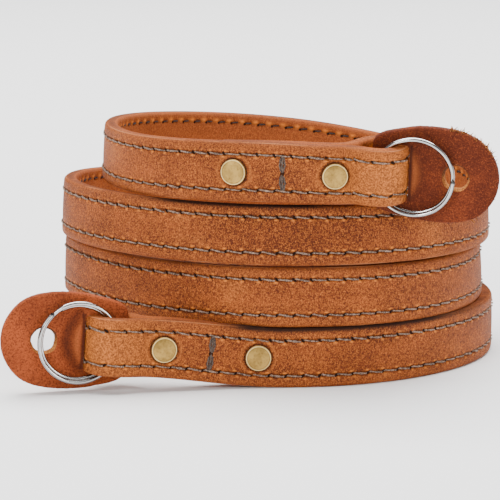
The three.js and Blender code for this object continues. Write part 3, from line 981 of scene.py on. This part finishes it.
def new_tree(name, **inputs):
    """An empty geometry tree with its named inputs, and the wires of those inputs."""
    tree = bpy.data.node_groups.new(name, "GeometryNodeTree")
    tree.interface.new_socket("Geometry", in_out="INPUT", socket_type="NodeSocketGeometry")
    for key, (kind, default) in inputs.items():
        socket = tree.interface.new_socket(key.replace("_", " "), in_out="INPUT", socket_type=kind)
        if default is not None:
            socket.default_value = default
    tree.interface.new_socket("Geometry", in_out="OUTPUT", socket_type="NodeSocketGeometry")
    source = tree.nodes.new("NodeGroupInput")
    wires = [Wire(tree, socket) for socket in source.outputs if socket.name]
    return tree, wires


def close_tree(tree, geometry, material):
    """Realizes the instances, sets the material and ends the tree."""
    real = add_node(tree, "GeometryNodeRealizeInstances", None, {0: geometry})
    painted = add_node(tree, "GeometryNodeSetMaterial", None, {0: real, "Material": material})
    end = tree.nodes.new("NodeGroupOutput")
    tree.links.new(painted.socket, end.inputs[0])
    return tree


def named(tree, name, kind="FLOAT_VECTOR"):
    return add_node(tree, "GeometryNodeInputNamedAttribute", {"data_type": kind}, {"Name": name})


def stored(tree, geometry, name, value):
    return add_node(tree, "GeometryNodeStoreNamedAttribute", {"data_type": "FLOAT"},
                    {"Geometry": geometry, "Name": name, "Value": value})


def factor_of(tree):
    return add_node(tree, "GeometryNodeSplineParameter")


def position_of(tree):
    return add_node(tree, "GeometryNodeInputPosition")


def moved(tree, geometry, socket, place):
    """Geometry with its points set to a Position or moved by an Offset."""
    return add_node(tree, "GeometryNodeSetPosition", None, {"Geometry": geometry, socket: place})


def resampled(tree, curve, count):
    return add_node(tree, "GeometryNodeResampleCurve", None, {"Curve": curve, "Count": count})


def circle_of(tree, sides, radius):
    return add_node(tree, "GeometryNodeCurvePrimitiveCircle", None,
                    {"Resolution": sides, "Radius": radius})


def swept(tree, line, profile):
    return add_node(tree, "GeometryNodeCurveToMesh", None,
                    {"Curve": line, "Profile Curve": profile, "Fill Caps": True})


def twisted_thread(tree, line, width, twists, sides, flatness):
    """A flattened thread along a curve, turned about it as it goes."""
    line = add_node(tree, "GeometryNodeSetCurveTilt", None,
                    {"Curve": line, "Tilt": factor_of(tree) * twists * (2 * math.pi)})
    squeeze = add_node(tree, "ShaderNodeVectorMath", {"operation": "MULTIPLY"},
                       {0: position_of(tree), 1: (1.0, flatness, 1.0)})
    return swept(tree, line, moved(tree, circle_of(tree, sides, width * 0.5), "Position", squeeze))


def set_on(tree, points, instance, **sockets):
    """An instance on every point."""
    return add_node(tree, "GeometryNodeInstanceOnPoints", None,
                    {"Points": points, "Instance": instance, **sockets})


def on_normal(tree):
    """The turn that brings the Z axis onto the point's normal."""
    return add_node(tree, "FunctionNodeAlignRotationToVector", {"axis": "Z"},
                    {"Vector": named(tree, "normal")})


def varied(tree, low, high, seed):
    return add_node(tree, "FunctionNodeRandomValue", {"data_type": "FLOAT"},
                    {2: low, 3: high, "Seed": seed}, 1)


def stitch_tree():
    """A twisted thread between two holes, set on every point along its tangent and normal."""
    tree, (points, length, width, rise, twists, sides, rings, seed, material) = new_tree(
        "stitch_row", Length=(FLOAT, 0.0035), Width=(FLOAT, 0.0006), Rise=(FLOAT, 0.0003),
        Twists=(FLOAT, 1.5), Sides=(INT, 8), Rings=(INT, 9), Seed=(INT, 1),
        Material=(MATERIAL, None))
    line = add_node(tree, "GeometryNodeCurvePrimitiveLine", None,
                    {"Start": vector_of(tree, length * -0.5), "End": vector_of(tree, length * 0.5)})
    swing = factor_of(tree) * 2 - 1
    lift = rise * (1 - (swing ** 4) * 2.4)
    line = moved(tree, resampled(tree, line, rings), "Offset", vector_of(tree, 0.0, 0.0, lift))
    thread = twisted_thread(tree, line, width, twists, sides, 0.66)
    turn = add_node(tree, "FunctionNodeAxesToRotation",
                    {"primary_axis": "Z", "secondary_axis": "X"},
                    {0: named(tree, "normal"), 1: named(tree, "tangent")})
    vary = varied(tree, 0.82, 1.15, seed)
    size = vector_of(tree, named(tree, "stretch", "FLOAT"), vary, vary)
    return close_tree(tree, set_on(tree, points, thread, Rotation=turn, Scale=size), material)


def strand_tree():
    """Thread swept along every chain of edges."""
    tree, (chains, width, twists, count, material) = new_tree(
        "thread_strand", Width=(FLOAT, 0.0005), Twists=(FLOAT, 2.0), Count=(INT, 12),
        Material=(MATERIAL, None))
    line = add_node(tree, "GeometryNodeMeshToCurve", None, {0: chains})
    thread = twisted_thread(tree, resampled(tree, line, count), width, twists, 8, 0.7)
    return close_tree(tree, thread, material)


def ring_tree():
    """Two flat windings of wire with one step between them, round the Y axis."""
    tree, (_, radius, wire, gap, start, sweep, spread, material) = new_tree(
        "split_ring", Radius=(FLOAT, 0.008), Wire=(FLOAT, 0.00095), Gap=(FLOAT, 0.00015),
        Start=(FLOAT, 0.0), Sweep=(FLOAT, 12.0), Spread=(FLOAT, 0.0), Material=(MATERIAL, None))
    line = resampled(tree, add_node(tree, "GeometryNodeCurvePrimitiveLine"), 260)
    turned = factor_of(tree) * sweep
    angle = turned + start
    winding = turned.ramp(330 * RAD, 380 * RAD) - 0.5
    reach = radius + spread * winding
    where = vector_of(tree, reach * angle.math("COSINE"), (wire + gap) * winding,
                      reach * angle.math("SINE"))
    line = stored(tree, moved(tree, line, "Position", where), "reach", factor_of(tree))
    circle = stored(tree, circle_of(tree, 16, wire * 0.5), "round", factor_of(tree))
    return close_tree(tree, swept(tree, line, circle), material)


def cap_tree():
    """A turned rivet cap on every point, its axis on the point's normal."""
    tree, (points, diameter, height, around, material) = new_tree(
        "rivet_cap", Diameter=(FLOAT, 0.0055), Height=(FLOAT, 0.0009), Around=(INT, 56),
        Material=(MATERIAL, None))
    grid = add_node(tree, "GeometryNodeMeshGrid", None,
                    {"Size X": 1.0, "Size Y": 1.0, "Vertices X": around, "Vertices Y": 33})
    side, down, _ = parts_of(tree, position_of(tree))
    turn, down = (side + 0.5) * (2 * math.pi), down + 0.5
    reach = add_node(tree, "ShaderNodeFloatCurve", {"points": [
        (0, 0), (0.42, 0.84), (0.47, 0.875), (0.52, 0.90), (0.60, 0.955), (0.68, 0.99),
        (0.76, 1.0), (0.84, 0.98), (0.90, 0.93), (1.0, 0.0)]}, {"Value": down})
    level = add_node(tree, "ShaderNodeFloatCurve", {"points": [
        (0, 1.0), (0.15, 0.985), (0.30, 0.93), (0.42, 0.83), (0.47, 0.79), (0.52, 0.82),
        (0.60, 0.80), (0.68, 0.70), (0.76, 0.42), (0.84, 0.12), (0.90, 0.0), (1.0, 0.0)]},
        {"Value": down})
    radius = reach * (diameter * 0.5)
    where = vector_of(tree, radius * turn.math("COSINE"), radius * turn.math("SINE"),
                      level * height)
    cap = moved(tree, stored(tree, grid, "rim", reach), "Position", where)
    cap = add_node(tree, "GeometryNodeMergeByDistance", None, {"Geometry": cap, "Distance": 1e-6})
    return close_tree(tree, set_on(tree, points, cap, Rotation=on_normal(tree)), material)


def fibre_tree():
    """Short torn fibres that stand off a cut edge, leaning every way."""
    tree, (points, length, width, seed, material) = new_tree(
        "edge_fibre", Length=(FLOAT, 0.0006), Width=(FLOAT, 0.00018), Seed=(INT, 1),
        Material=(MATERIAL, None))
    blade = add_node(tree, "GeometryNodeMeshCone", None,
                     {"Vertices": 5, "Side Segments": 3, "Radius Top": width * 0.2,
                      "Radius Bottom": width, "Depth": length})
    rise = parts_of(tree, position_of(tree))[2]
    blade = moved(tree, blade, "Offset", vector_of(tree, (rise * rise) / length * 0.9))
    spin = add_node(tree, "FunctionNodeRandomValue", {"data_type": "FLOAT_VECTOR"},
                    {0: (-0.8, -0.8, -3.1), 1: (0.8, 0.8, 3.1), "Seed": seed})
    turned = add_node(tree, "FunctionNodeRotateRotation", {"rotation_space": "LOCAL"},
                      {0: on_normal(tree), 1: spin})
    size = varied(tree, 0.35, 1.25, seed + 3)
    return close_tree(tree, set_on(tree, points, blade, Rotation=turned, Scale=size), material)


# Pieces


def band_profile(sizes):
    """Section of the band in millimetres: thickness, height and face share of each point."""
    half, wide, r = sizes.thickness / MM / 2, sizes.width / MM / 2, sizes.edge / MM
    line = wide - sizes.inset / MM
    steps = [0, 1.1, 2.1, 2.8, line - 0.6, line - 0.35, line - 0.15, line, line + 0.15,
             line + 0.35, line + 0.6, line + 0.95]
    face = sorted({round(k * y, 4) for y in steps for k in (1, -1)})
    turns = [90 * (i + 0.5) / 6 * RAD for i in range(6)]
    points = []
    for sign in (1, -1):

        def corner(side, angles):
            return [(side * (half - r + r * math.sin(a)), sign * (wide - r + r * math.cos(a)),
                     side * math.sin(a)) for a in angles]

        points += [(sign * half, y, sign) for y in face[::sign]]
        points += corner(sign, turns[::-1]) + [(0.0, sign * wide, 0.0)] + corner(-sign, turns)
    return np.array(points)


def relief(sizes, s, across, face):
    """How far the leather stands off its flat face, in millimetres."""
    line = (sizes.width / 2 - sizes.inset) / MM
    phase = s / (sizes.pitch / MM)
    at_hole = (0.5 + 0.5 * np.cos(2 * np.pi * phase)) ** 2
    between = np.sin(np.pi * phase) ** 2
    inner = face < 0
    off = np.abs(across) - line - np.where(inner, INNER_SHIFT, 0)
    groove = -0.15 * swell(off, 0, 0.42)
    dip = -0.16 * np.where(inner, between, at_hole) * swell(off, 0, 0.5)
    puff = 0.08 * between * swell(off, 0.85, 0.7) * np.where(inner, -1, 1)
    notch = np.where(inner, 0.26 * at_hole * swell(off, 0.35, 0.75),
                     -0.03 * at_hole * swell(off, 0.7, 0.7))
    crown = 0.07 * np.clip(1 - (across / line) ** 2, 0, 1)
    return (groove + dip + puff + notch + crown) * np.abs(face)


def rivet_stations(band):
    """Middle, face normal and up of the band at each rivet."""
    for name, end in ENDS.items():
        for reach in (end["near"], end["far"]):
            yield band.station(name, reach)


def build_band(sizes, finish):
    """The band of two plies, its folded ends, and what its leather reads along it."""
    band = Band(sizes)
    step = sizes.pitch / MM / 4
    count = int(band.length / step)
    s = np.concatenate([np.arange(count + 1) * step, [band.length]])
    if s[-1] - s[-2] < 0.2:
        s = np.delete(s, -2)
    mid, out, up = band.at(s)
    profile = band_profile(sizes)
    x, y, face = profile[:, 0], profile[:, 1], profile[:, 2]
    lift = relief(sizes, s[:, None], y[None, :], face[None, :]) * np.sign(face)[None, :]
    covered = (soft((s - band.place_at(COVERED_FROM)) / 12)
               * soft((band.place_at(COVERED_TO) + 18 - s) / 10))
    clear = [soft(1 - np.abs(s - band.place_at(angle)) / run) for angle, run in CLEAR]
    covered *= 1 - np.max(clear, axis=0)
    shaded = covered * np.interp(s, [band.place_at(a) for a in SHADE[:, 0]], SHADE[:, 1])
    rise = y[None, :] * (1 + 0.02 * covered[:, None] * (y > 0))
    points = (mid[:, None, :] + out[:, None, :] * (x[None, :] + lift)[:, :, None]
              + up[:, None, :] * rise[:, :, None])
    rivets = np.full(points.shape[:2], 9.0)
    for centre, normal, _ in rivet_stations(band):
        for depth in (0, band.tail):
            gap = points - (centre + normal * depth)
            along = gap @ normal
            away = np.linalg.norm(gap - along[:, :, None] * normal, axis=2)
            rivets = np.where((np.abs(along) < 2.2) & (away < rivets), away, rivets)
    sunk = 0.2 * soft((3.9 - rivets) / 1.3)
    points -= out[:, None, :] * (sunk * np.sign(face)[None, :])[:, :, None]
    marks = band.marks()
    pulled = np.max([soft(1 - np.abs(s - marks[name + "_fold"]) / end["stretch"])
                     for name, end in ENDS.items()], axis=0)
    rows, ring = points.shape[:2]
    tacks = [band.station(name, TACK_REACH) for name in ENDS]
    places = [band.place_of(mid) for mid, _, _ in tacks]
    places += [band.place_of(mid + out * band.tail) for mid, out, _ in tacks]
    material = band_leather(sizes, finish, places)
    obj = mesh_object("strap_band", band.row(points.reshape(-1, 3)), tube_faces(rows, ring),
                      material)
    set_floats(obj.data, along=np.repeat(s, ring), across=np.tile(y, rows),
               face=np.tile(face, rows), pulled=np.repeat(pulled, ring),
               tone=np.repeat(band.tone(s), ring), shaded=np.repeat(shaded, ring),
               rivet=rivets.ravel())
    finish_piece(obj, "strap_leather", "strap")


def build_stitches(sizes, finish):
    """Both rows of stitches on the outer and the inner face."""
    band = Band(sizes)
    rng = np.random.default_rng(sizes.seed)
    pitch = sizes.pitch / MM
    line = band.width / 2 - sizes.inset / MM
    marks = band.marks()
    count = int(band.length / pitch)
    s = np.arange(count + 1) * pitch
    mid, out, up = band.at(s)
    threads = {sign: waxed_thread(finish, row["thread"], row["dark"])
               for sign, row in STITCHING.items()}
    tree = stitch_tree()
    inner_reach = TAIL_REACH - 8
    for sign, row in STITCHING.items():
        name, rows = row["name"], []
        inset = line + row["shift"]
        for across in (inset, -inset):
            hole = mid + out * (sign * band.thickness / 2) + up * across
            start, end = hole[:-1], hole[1:]
            tangent = end - start
            span = np.linalg.norm(tangent, axis=1)
            normal = (out[:-1] + out[1:]) / 2 * sign
            middle = (s[:-1] + s[1:]) / 2
            half_mid, half_out, half_up = band.at(middle)
            top = half_mid + half_out * (sign * band.thickness / 2) + half_up * across
            centre = (start + end) / 2
            centre += (top - centre) * 0.8
            keep = np.ones(len(centre), bool)
            if sign < 0:
                hidden = [(-1, marks["upper_home"] + 2),
                          (marks["upper_fork"] - 2, marks["upper_fork"] + inner_reach),
                          (marks["lower_fork"] - inner_reach, marks["lower_fork"] + 2),
                          (marks["lower_home"] - 2, band.length + 1)]
                for low, high in hidden:
                    keep &= ~((middle > low) & (middle < high))
            keep &= (middle > 2) & (middle < band.length - 2)
            sway = rng.normal(0.12, 0.045, len(centre))[:, None]
            tangent = tangent / span[:, None] + up[:-1] * sway
            tangent /= np.linalg.norm(tangent, axis=1)[:, None]
            for i in np.flatnonzero(keep):
                rows.append((centre[i] - normal[i] * row["sunk"], tangent[i], normal[i],
                             span[i] / pitch * rng.normal(0.97, 0.02)))
        holes, tangents, normals, stretch = zip(*rows)
        source = mesh_object(name + "_holes", band.row(holes))
        set_vectors(source.data, tangent=tangents, normal=normals)
        set_floats(source.data, stretch=stretch)
        piece = baked(name, source, tree, {
            "Length": sizes.pitch * row["span"], "Width": sizes.thread * row["width"],
            "Rise": row["rise"] * MM, "Twists": 1.1, "Sides": row["sides"], "Rings": row["rings"],
            "Seed": sizes.seed + sign, "Material": threads[sign]})
        finish_piece(piece, None)


def build_tacks(sizes, finish):
    """Bars of thread across the band, two bundles of strands to each, on both faces."""
    band = Band(sizes)
    line = band.width / 2 - sizes.inset / MM
    points, edges = [], []
    for index, name in enumerate(ENDS):
        mid, out, up = band.station(name, TACK_REACH)
        forward = np.cross(up, out)
        for face, depth in ((1, band.thickness / 2), (-1, band.thickness * 1.5 + PLY_GAP)):
            base = mid + out * face * depth
            for lobe in (1, -1):
                low, high = sorted((TACK_SPLIT * lobe, (line - 0.05) * lobe))
                for share in range(-1, TACK_STRANDS - 1):
                    start = len(points)
                    for i in range(TACK_POINTS):
                        t = i / (TACK_POINTS - 1)
                        bow = math.sin(math.pi * t) ** 0.8
                        side = share * TACK_SPREAD * bow + 0.12 * lobe * (t - 0.5) * (1 - 2 * index)
                        rise = TACK_BOW * bow ** 0.7 - TACK_SUNK - 0.14 * abs(share) * bow
                        points.append(base + up * (low + (high - low) * t) + forward * side
                                      + out * face * rise)
                    edges += [(start + i, start + i + 1) for i in range(TACK_POINTS - 1)]
    source = mesh_object("tack_paths", band.row(points), edges=edges)
    thread = waxed_thread(finish, "tack_thread", 0.65)
    piece = baked("bar_tacks", source, strand_tree(), {
        "Width": 0.00058, "Twists": 1.6, "Count": 13, "Material": thread})
    finish_piece(piece, None)


def build_rings(sizes, finish):
    """The split ring in each loop."""
    band = Band(sizes)
    material = bright_nickel(finish)
    tree = ring_tree()
    wire, gap = sizes.wire, WIRE_GAP * MM
    mean = (sizes.ring - wire) / 2
    for name, end in ENDS.items():
        source = mesh_object(name + "_start", [(0, 0, 0)])
        piece = baked(name + "_split_ring", source, tree, {
            "Radius": mean, "Wire": wire, "Gap": gap, "Start": (end["wire_end"] + 6) * RAD,
            "Sweep": WIRE_SWEEP * RAD, "Spread": end["spread"] * MM, "Material": material})
        half = band.thickness / 2
        reach = (FOLD + half + end["ring_reach"]) * MM
        middle = (FOLD - half - RING_ROOM) * MM - (wire + gap) / 2 - wire / 2
        matrix = (spot_matrix(band, name)
                  @ Matrix.Translation((reach - mean, middle, end["ring_lift"] * MM))
                  @ Matrix.Rotation(end["ring_turn"] * RAD, 4, "Z")
                  @ Matrix.Translation((mean, 0, 0)))
        piece.data.transform(matrix)
        finish_piece(piece, "ring_steel", name + "_ring")


def build_rivets(sizes, finish):
    """Rivet caps on the outer and the inner face."""
    band = Band(sizes)
    points, normals = [], []
    depths = ((1, band.thickness / 2), (-1, band.thickness * 1.5 + PLY_GAP))
    for mid, out, _ in rivet_stations(band):
        for side, depth in depths:
            points.append(mid + out * side * (depth - CAP_SUNK))
            normals.append(out * side)
    source = mesh_object("rivet_places", band.row(points))
    set_vectors(source.data, normal=normals)
    piece = baked("rivet_caps", source, cap_tree(), {
        "Diameter": sizes.cap, "Height": CAP_HEIGHT * MM, "Around": 57,
        "Material": antique_brass(finish)})
    nodes = [f"{end}_rivet_{place}" for end in ENDS for place in ("outer", "inner")]
    finish_piece(piece, "rivet_brass", *nodes)


def guard_frame(sizes, name):
    """Lug end, middle, start past the loop and lug hole of a guard, in its loop's axes."""
    end = ENDS[name]
    half = sizes.thickness / MM / 2
    wire, thick = sizes.wire / MM, sizes.guard_thickness / MM
    tip = FOLD + half + sizes.guard_length / MM - GUARD_UNDER + end["slide"]
    middle = FOLD - half - 2 * RING_ROOM - 2 * wire - WIRE_GAP - thick / 2
    start = FOLD + half + SLOT_GAP
    lug = FOLD + half + LUG_PLACE + end["slide"] + end["hole_slide"]
    return tip, middle, start, lug


def pressed(name, start, x, v):
    """The fold that the loop presses up: its border, its arch and how far it has begun."""
    end = ENDS[name]
    arch = np.clip(1 - (v / end["fold_height"]) ** 2, 0, 1)
    return start + end["fold_width"] * arch, arch, soft((x - (start - 4.5)) / 3)


def guard_shift(name, start, x, v):
    """Bend of the guard away from the axis and the fold that the loop presses up."""
    end = ENDS[name]
    border, arch, back = pressed(name, start, x, v)
    s = np.clip((x - start) / 4, 0, 1)
    beyond = np.maximum(x - start - 4, 0)
    bent = math.tan(end["bend"] * RAD) * (4 * (s**3 - s**4 / 2) + beyond)
    fold = (end["fold_rise"] * arch ** 0.6 * soft((border - x) / (1.5 * arch ** 0.5 + 0.1))
            * (x > start - 3))
    valley = -0.6 * swell(x - border, 0.3, 1.2) * arch ** 0.3 * end["valley"]
    return bent + (fold + valley) * back


def guard_tones(name, start, x, v):
    """Shade in the guard's valley and at its slot, and light on the brow of its fold."""
    end = ENDS[name]
    border, arch, back = pressed(name, start, x, v)
    hollow = swell(x - border, 0.1, 1.5) * arch ** 0.3 * back * end["hollow"]
    brow = swell(x - border + end["fold_width"] * 0.55, 0, 1.0) * arch * back
    seat = 1.3 * swell(x - start, 0.1, 0.5) * (np.abs(v) < 6)
    return np.maximum(hollow, seat), brow


def rounded_slot(low, high, half, corner, depth, middle):
    """A closed block with rounded corners that cuts the slot for the band."""
    outline = []
    for cx, cy, turn in ((high, half, 0), (low, half, 90), (low, -half, 180), (high, -half, 270)):
        sx = corner if cx == low else -corner
        sy = corner if cy < 0 else -corner
        for i in range(5):
            a = (turn + 22.5 * i) * RAD
            outline.append((cx + sx + corner * math.cos(a), cy + sy + corner * math.sin(a)))
    count = len(outline)
    points = [(x, middle + side, y) for side in (-depth, depth) for x, y in outline]
    return points, tube_faces(2, count)


def guard_section(half, thick):
    """Section of a lug guard with rounded edges: height and thickness of each point."""
    e = min(GUARD_EDGE, half * 0.8)
    flat = np.linspace(-(half - e), half - e, GUARD_CELLS + 1)
    turn = np.linspace(0, math.pi / 2, 5)
    row = []
    for sign in (1, -1):
        row += [(v, sign * thick) for v in flat[::sign]]
        row += [(sign * (half - e + e * math.sin(t)), sign * (thick - e + e * math.cos(t)))
                for t in turn[1:]]
        row += [(sign * (half - e + e * math.cos(t)), -sign * (thick - e + e * math.sin(t)))
                for t in turn[:-1]]
    return np.array(row)


def guard_plate(sizes, name, rng, leather):
    """The uncut plate of a lug guard, in its loop's axes."""
    tip, middle, start, _ = guard_frame(sizes, name)
    length = sizes.guard_length / MM
    share = 0.5 - 0.5 * np.cos(np.linspace(0, math.pi, GUARD_SLICES))
    half = sizes.guard_height / MM / 2
    tall = np.maximum(np.array([along_rows(GUARD_OUTLINE, 1, a) for a in share]) * half, 0.35)
    tall += rng.normal(0, 0.02, len(tall))
    rings = []
    for a, h in zip(share, tall):
        row = guard_section(h, sizes.guard_thickness / MM / 2)
        x = np.full(len(row), tip - a * length)
        thin = 1 - 0.45 * (1 - soft(min(a, 1 - a) * length / 0.7)) ** 2
        y = middle + row[:, 1] * thin + guard_shift(name, start, x, row[:, 0])
        rings.append(np.stack([x, y, ENDS[name]["lift"] + row[:, 0]], axis=1))
    return mesh_object(name + "_lug_guard", np.concatenate(rings) * MM,
                       tube_faces(len(rings), len(rings[0])), leather)


def lug_cutter(sizes, name, rng):
    """Points and faces of the block that cuts a lug hole with worn rims."""
    _, middle, start, lug = guard_frame(sizes, name)
    lift, thick = ENDS[name]["lift"], sizes.guard_thickness / MM / 2
    hole = sizes.lug_hole / MM / 2
    profile = [(hole + 1.3, thick + 1.2), (hole + 0.34, thick + 0.02), (hole + 0.12, thick - 0.25),
               (hole - 0.1, thick - 0.6), (hole - 0.1, -thick + 0.4), (hole + 0.15, -thick),
               (hole + 0.6, -thick - 1.2)]
    shift = float(guard_shift(name, start, np.array(lug), np.array(0.0)))
    tilt = math.tan(ENDS[name]["bend"] * RAD)
    points = []
    for r, y in profile:
        for i in range(LUG_POINTS):
            a = 2 * math.pi * i / LUG_POINTS
            rough = 1 + 0.02 * math.sin(5 * a + 1) + rng.normal(0, 0.008)
            x = r * rough * math.cos(a)
            points.append((lug + x - y * tilt, middle + shift + y + x * tilt,
                           lift + r * rough * math.sin(a)))
    return points, tube_faces(len(profile), LUG_POINTS)


def build_guards(sizes, finish):
    """Both lug guards, with their slots and lug holes cut and their folds shaded."""
    band = Band(sizes)
    leather, raw = guard_leather(finish), raw_leather(finish)
    rng = np.random.default_rng(sizes.seed)
    thick = sizes.guard_thickness / MM / 2
    for name, end in ENDS.items():
        _, middle, start, _ = guard_frame(sizes, name)
        plate = guard_plate(sizes, name, rng, leather)
        plate.data.materials.append(raw)
        faces_out(plate.data)
        face_y = FOLD - sizes.thickness / MM / 2
        inner = math.sqrt(max(face_y**2 - (middle - thick) ** 2, 1))
        slot = rounded_slot(inner - SLOT_GAP, start - 0.18,
                            band.width / 2 * (1 - end["slim"]) - 0.5, 1.0, 9, middle)
        cutters = []
        for kind, (points, faces), smooth in (("slot_cutter", slot, False),
                                              ("lug_cutter", lug_cutter(sizes, name, rng), True)):
            cutter = mesh_object(kind, np.array(points) * MM, faces, raw, smooth)
            faces_out(cutter.data)
            cut = plate.modifiers.new(cutter.name, "BOOLEAN")
            cut.operation, cut.solver, cut.material_mode = "DIFFERENCE", "EXACT", "TRANSFER"
            cut.object = cutter
            cutters.append(cutter)
        mesh = evaluated_mesh(plate)
        for obj in (*cutters, plate):
            bpy.data.objects.remove(obj)
        local = np.array([v.co for v in mesh.vertices]) / MM
        hollow, brow = guard_tones(name, start, local[:, 0], local[:, 2] - end["lift"])
        front = soft((local[:, 1] - middle) / 0.4)
        set_floats(mesh, hollow=hollow * front, brow=brow * front)
        mesh.transform(spot_matrix(band, name))
        piece = in_scene(name + "_lug_guard", mesh)
        finish_piece(piece, "guard_leather", name + "_guard")
        mark_sharp(mesh, 42)


def build_fibres(sizes, finish):
    """Torn fibres along the cut edge of the upper guard's lug end."""
    band = Band(sizes)
    rng = np.random.default_rng(sizes.seed + 5)
    tip, middle, start, _ = guard_frame(sizes, "upper")
    half, length = sizes.guard_height / MM / 2, sizes.guard_length / MM
    points, normals = [], []
    for side, low, high, count in FIBRES:
        for a in rng.uniform(low, high, count):
            h = along_rows(GUARD_OUTLINE, 1, a) * half
            ahead = along_rows(GUARD_OUTLINE, 1, a + 0.01) * half
            normal = unit(np.array([(ahead - h) / (0.01 * length), 0.0, side]))
            x = tip - a * length
            depth = rng.uniform(-0.2, 0.85)
            y = middle + depth + float(guard_shift("upper", start, np.array(x), np.array(h)))
            points.append(np.array([x, y, side * h]) - normal * 0.12)
            normals.append(normal + np.array([0, rng.uniform(-0.2, 0.4), 0]))
    matrix = spot_matrix(band, "upper")
    turn = matrix.to_3x3()
    source = mesh_object("fibre_roots", [matrix @ Vector(p * MM) for p in points])
    set_vectors(source.data, normal=[tuple(turn @ Vector(n)) for n in normals])
    piece = baked("guard_fibres", source, fibre_tree(), {
        "Length": 0.0008, "Width": 0.00015, "Seed": sizes.seed,
        "Material": bpy.data.materials["raw_leather"]})
    finish_piece(piece, "guard_leather")


def build_stage(sizes, finish):
    """Pale floor, soft lights and the camera."""
    band = Band(sizes)
    scene = bpy.context.scene
    paint, _, shader = new_material("pale_floor", Roughness=0.9)
    shader.inputs["Base Color"].default_value = (0.93, 0.93, 0.93, 1)
    corners = [(-3, -3, 0), (3, -3, 0), (3, 3, 0), (-3, 3, 0)]
    mesh_object("floor", corners, [(0, 1, 2, 3)], paint, False)
    world = bpy.data.worlds.new("studio")
    world.use_nodes = True
    background = world.node_tree.nodes["Background"]
    background.inputs[0].default_value = (1.0, 1.0, 1.0, 1)
    background.inputs[1].default_value = 0.35
    scene.world = world
    for name, place, aim, side, power in LIGHTS:
        data = bpy.data.lights.new(name, "AREA")
        data.shape = "RECTANGLE"
        data.size = data.size_y = side
        data.energy = power
        light = in_scene(name, data)
        light.location = place
        light.rotation_mode = "QUATERNION"
        light.rotation_quaternion = (Vector(aim) - Vector(place)).to_track_quat("-Z", "Y")
    data = bpy.data.cameras.new("camera")
    data.sensor_width = 36
    data.lens = CAMERA_LENS * 36
    data.clip_start, data.clip_end = 0.05, 20
    camera = in_scene("camera", data)
    camera.location = band.row(CAMERA_PLACE)
    camera.rotation_euler = (CAMERA_TILT * RAD, 0, 0)
    scene.camera = camera


# Operators and panel


def built(context, build):
    """Runs a build function on the scene's own sizes and finishes."""
    build(context.scene.strap_sizes, context.scene.strap_finish)
    return {"FINISHED"}


class STRAP_OT_stage(bpy.types.Operator):
    """Lays the floor and sets the lights and camera"""

    bl_idname = "strap.stage"
    bl_label = "Stage"
    bl_options = {"REGISTER", "UNDO"}

    def execute(self, context):
        return built(context, build_stage)


class STRAP_OT_band(bpy.types.Operator):
    """Builds the stitched leather band"""

    bl_idname = "strap.band"
    bl_label = "Band"
    bl_options = {"REGISTER", "UNDO"}

    def execute(self, context):
        return built(context, build_band)


class STRAP_OT_stitches(bpy.types.Operator):
    """Sews both rows of stitches on both faces"""

    bl_idname = "strap.stitches"
    bl_label = "Stitches"
    bl_options = {"REGISTER", "UNDO"}

    def execute(self, context):
        return built(context, build_stitches)


class STRAP_OT_tacks(bpy.types.Operator):
    """Sews the bars across the two ends"""

    bl_idname = "strap.tacks"
    bl_label = "Bar tacks"
    bl_options = {"REGISTER", "UNDO"}

    def execute(self, context):
        return built(context, build_tacks)


class STRAP_OT_rings(bpy.types.Operator):
    """Winds the two split rings"""

    bl_idname = "strap.rings"
    bl_label = "Split rings"
    bl_options = {"REGISTER", "UNDO"}

    def execute(self, context):
        return built(context, build_rings)


class STRAP_OT_rivets(bpy.types.Operator):
    """Sets the rivet caps"""

    bl_idname = "strap.rivets"
    bl_label = "Rivets"
    bl_options = {"REGISTER", "UNDO"}

    def execute(self, context):
        return built(context, build_rivets)


class STRAP_OT_guards(bpy.types.Operator):
    """Cuts the two lug guards"""

    bl_idname = "strap.guards"
    bl_label = "Lug guards"
    bl_options = {"REGISTER", "UNDO"}

    def execute(self, context):
        return built(context, build_guards)


class STRAP_OT_fibres(bpy.types.Operator):
    """Frays the upper guard's cut edge"""

    bl_idname = "strap.fibres"
    bl_label = "Edge fibres"
    bl_options = {"REGISTER", "UNDO"}

    def execute(self, context):
        return built(context, build_fibres)


OPERATORS = (
    STRAP_OT_stage, STRAP_OT_band, STRAP_OT_stitches, STRAP_OT_tacks, STRAP_OT_rings,
    STRAP_OT_rivets, STRAP_OT_guards, STRAP_OT_fibres,
)


class STRAP_PT_panel(bpy.types.Panel):
    """Lists the strap's sizes, finishes and pieces."""

    bl_label = "Coiled strap"
    bl_idname = "STRAP_PT_panel"
    bl_space_type = "VIEW_3D"
    bl_region_type = "UI"
    bl_category = "Strap"

    def draw(self, context):
        for group in (context.scene.strap_sizes, context.scene.strap_finish):
            column = self.layout.column()
            for name in group.__annotations__:
                column.prop(group, name)
        for kind in OPERATORS:
            self.layout.operator(kind.bl_idname)


CLASSES = (StrapSizes, StrapFinish, *OPERATORS, STRAP_PT_panel)


def register():
    for kind in CLASSES:
        bpy.utils.register_class(kind)
    bpy.types.Scene.strap_sizes = PointerProperty(type=StrapSizes)
    bpy.types.Scene.strap_finish = PointerProperty(type=StrapFinish)


def unregister():
    del bpy.types.Scene.strap_finish
    del bpy.types.Scene.strap_sizes
    for kind in reversed(CLASSES):
        bpy.utils.unregister_class(kind)


def main():
    register()
    bpy.ops.strap.stage()
    bpy.ops.strap.band()
    bpy.ops.strap.stitches()
    bpy.ops.strap.tacks()
    bpy.ops.strap.rings()
    bpy.ops.strap.rivets()
    bpy.ops.strap.guards()
    bpy.ops.strap.fibres()


if __name__ == "__main__":
    main()
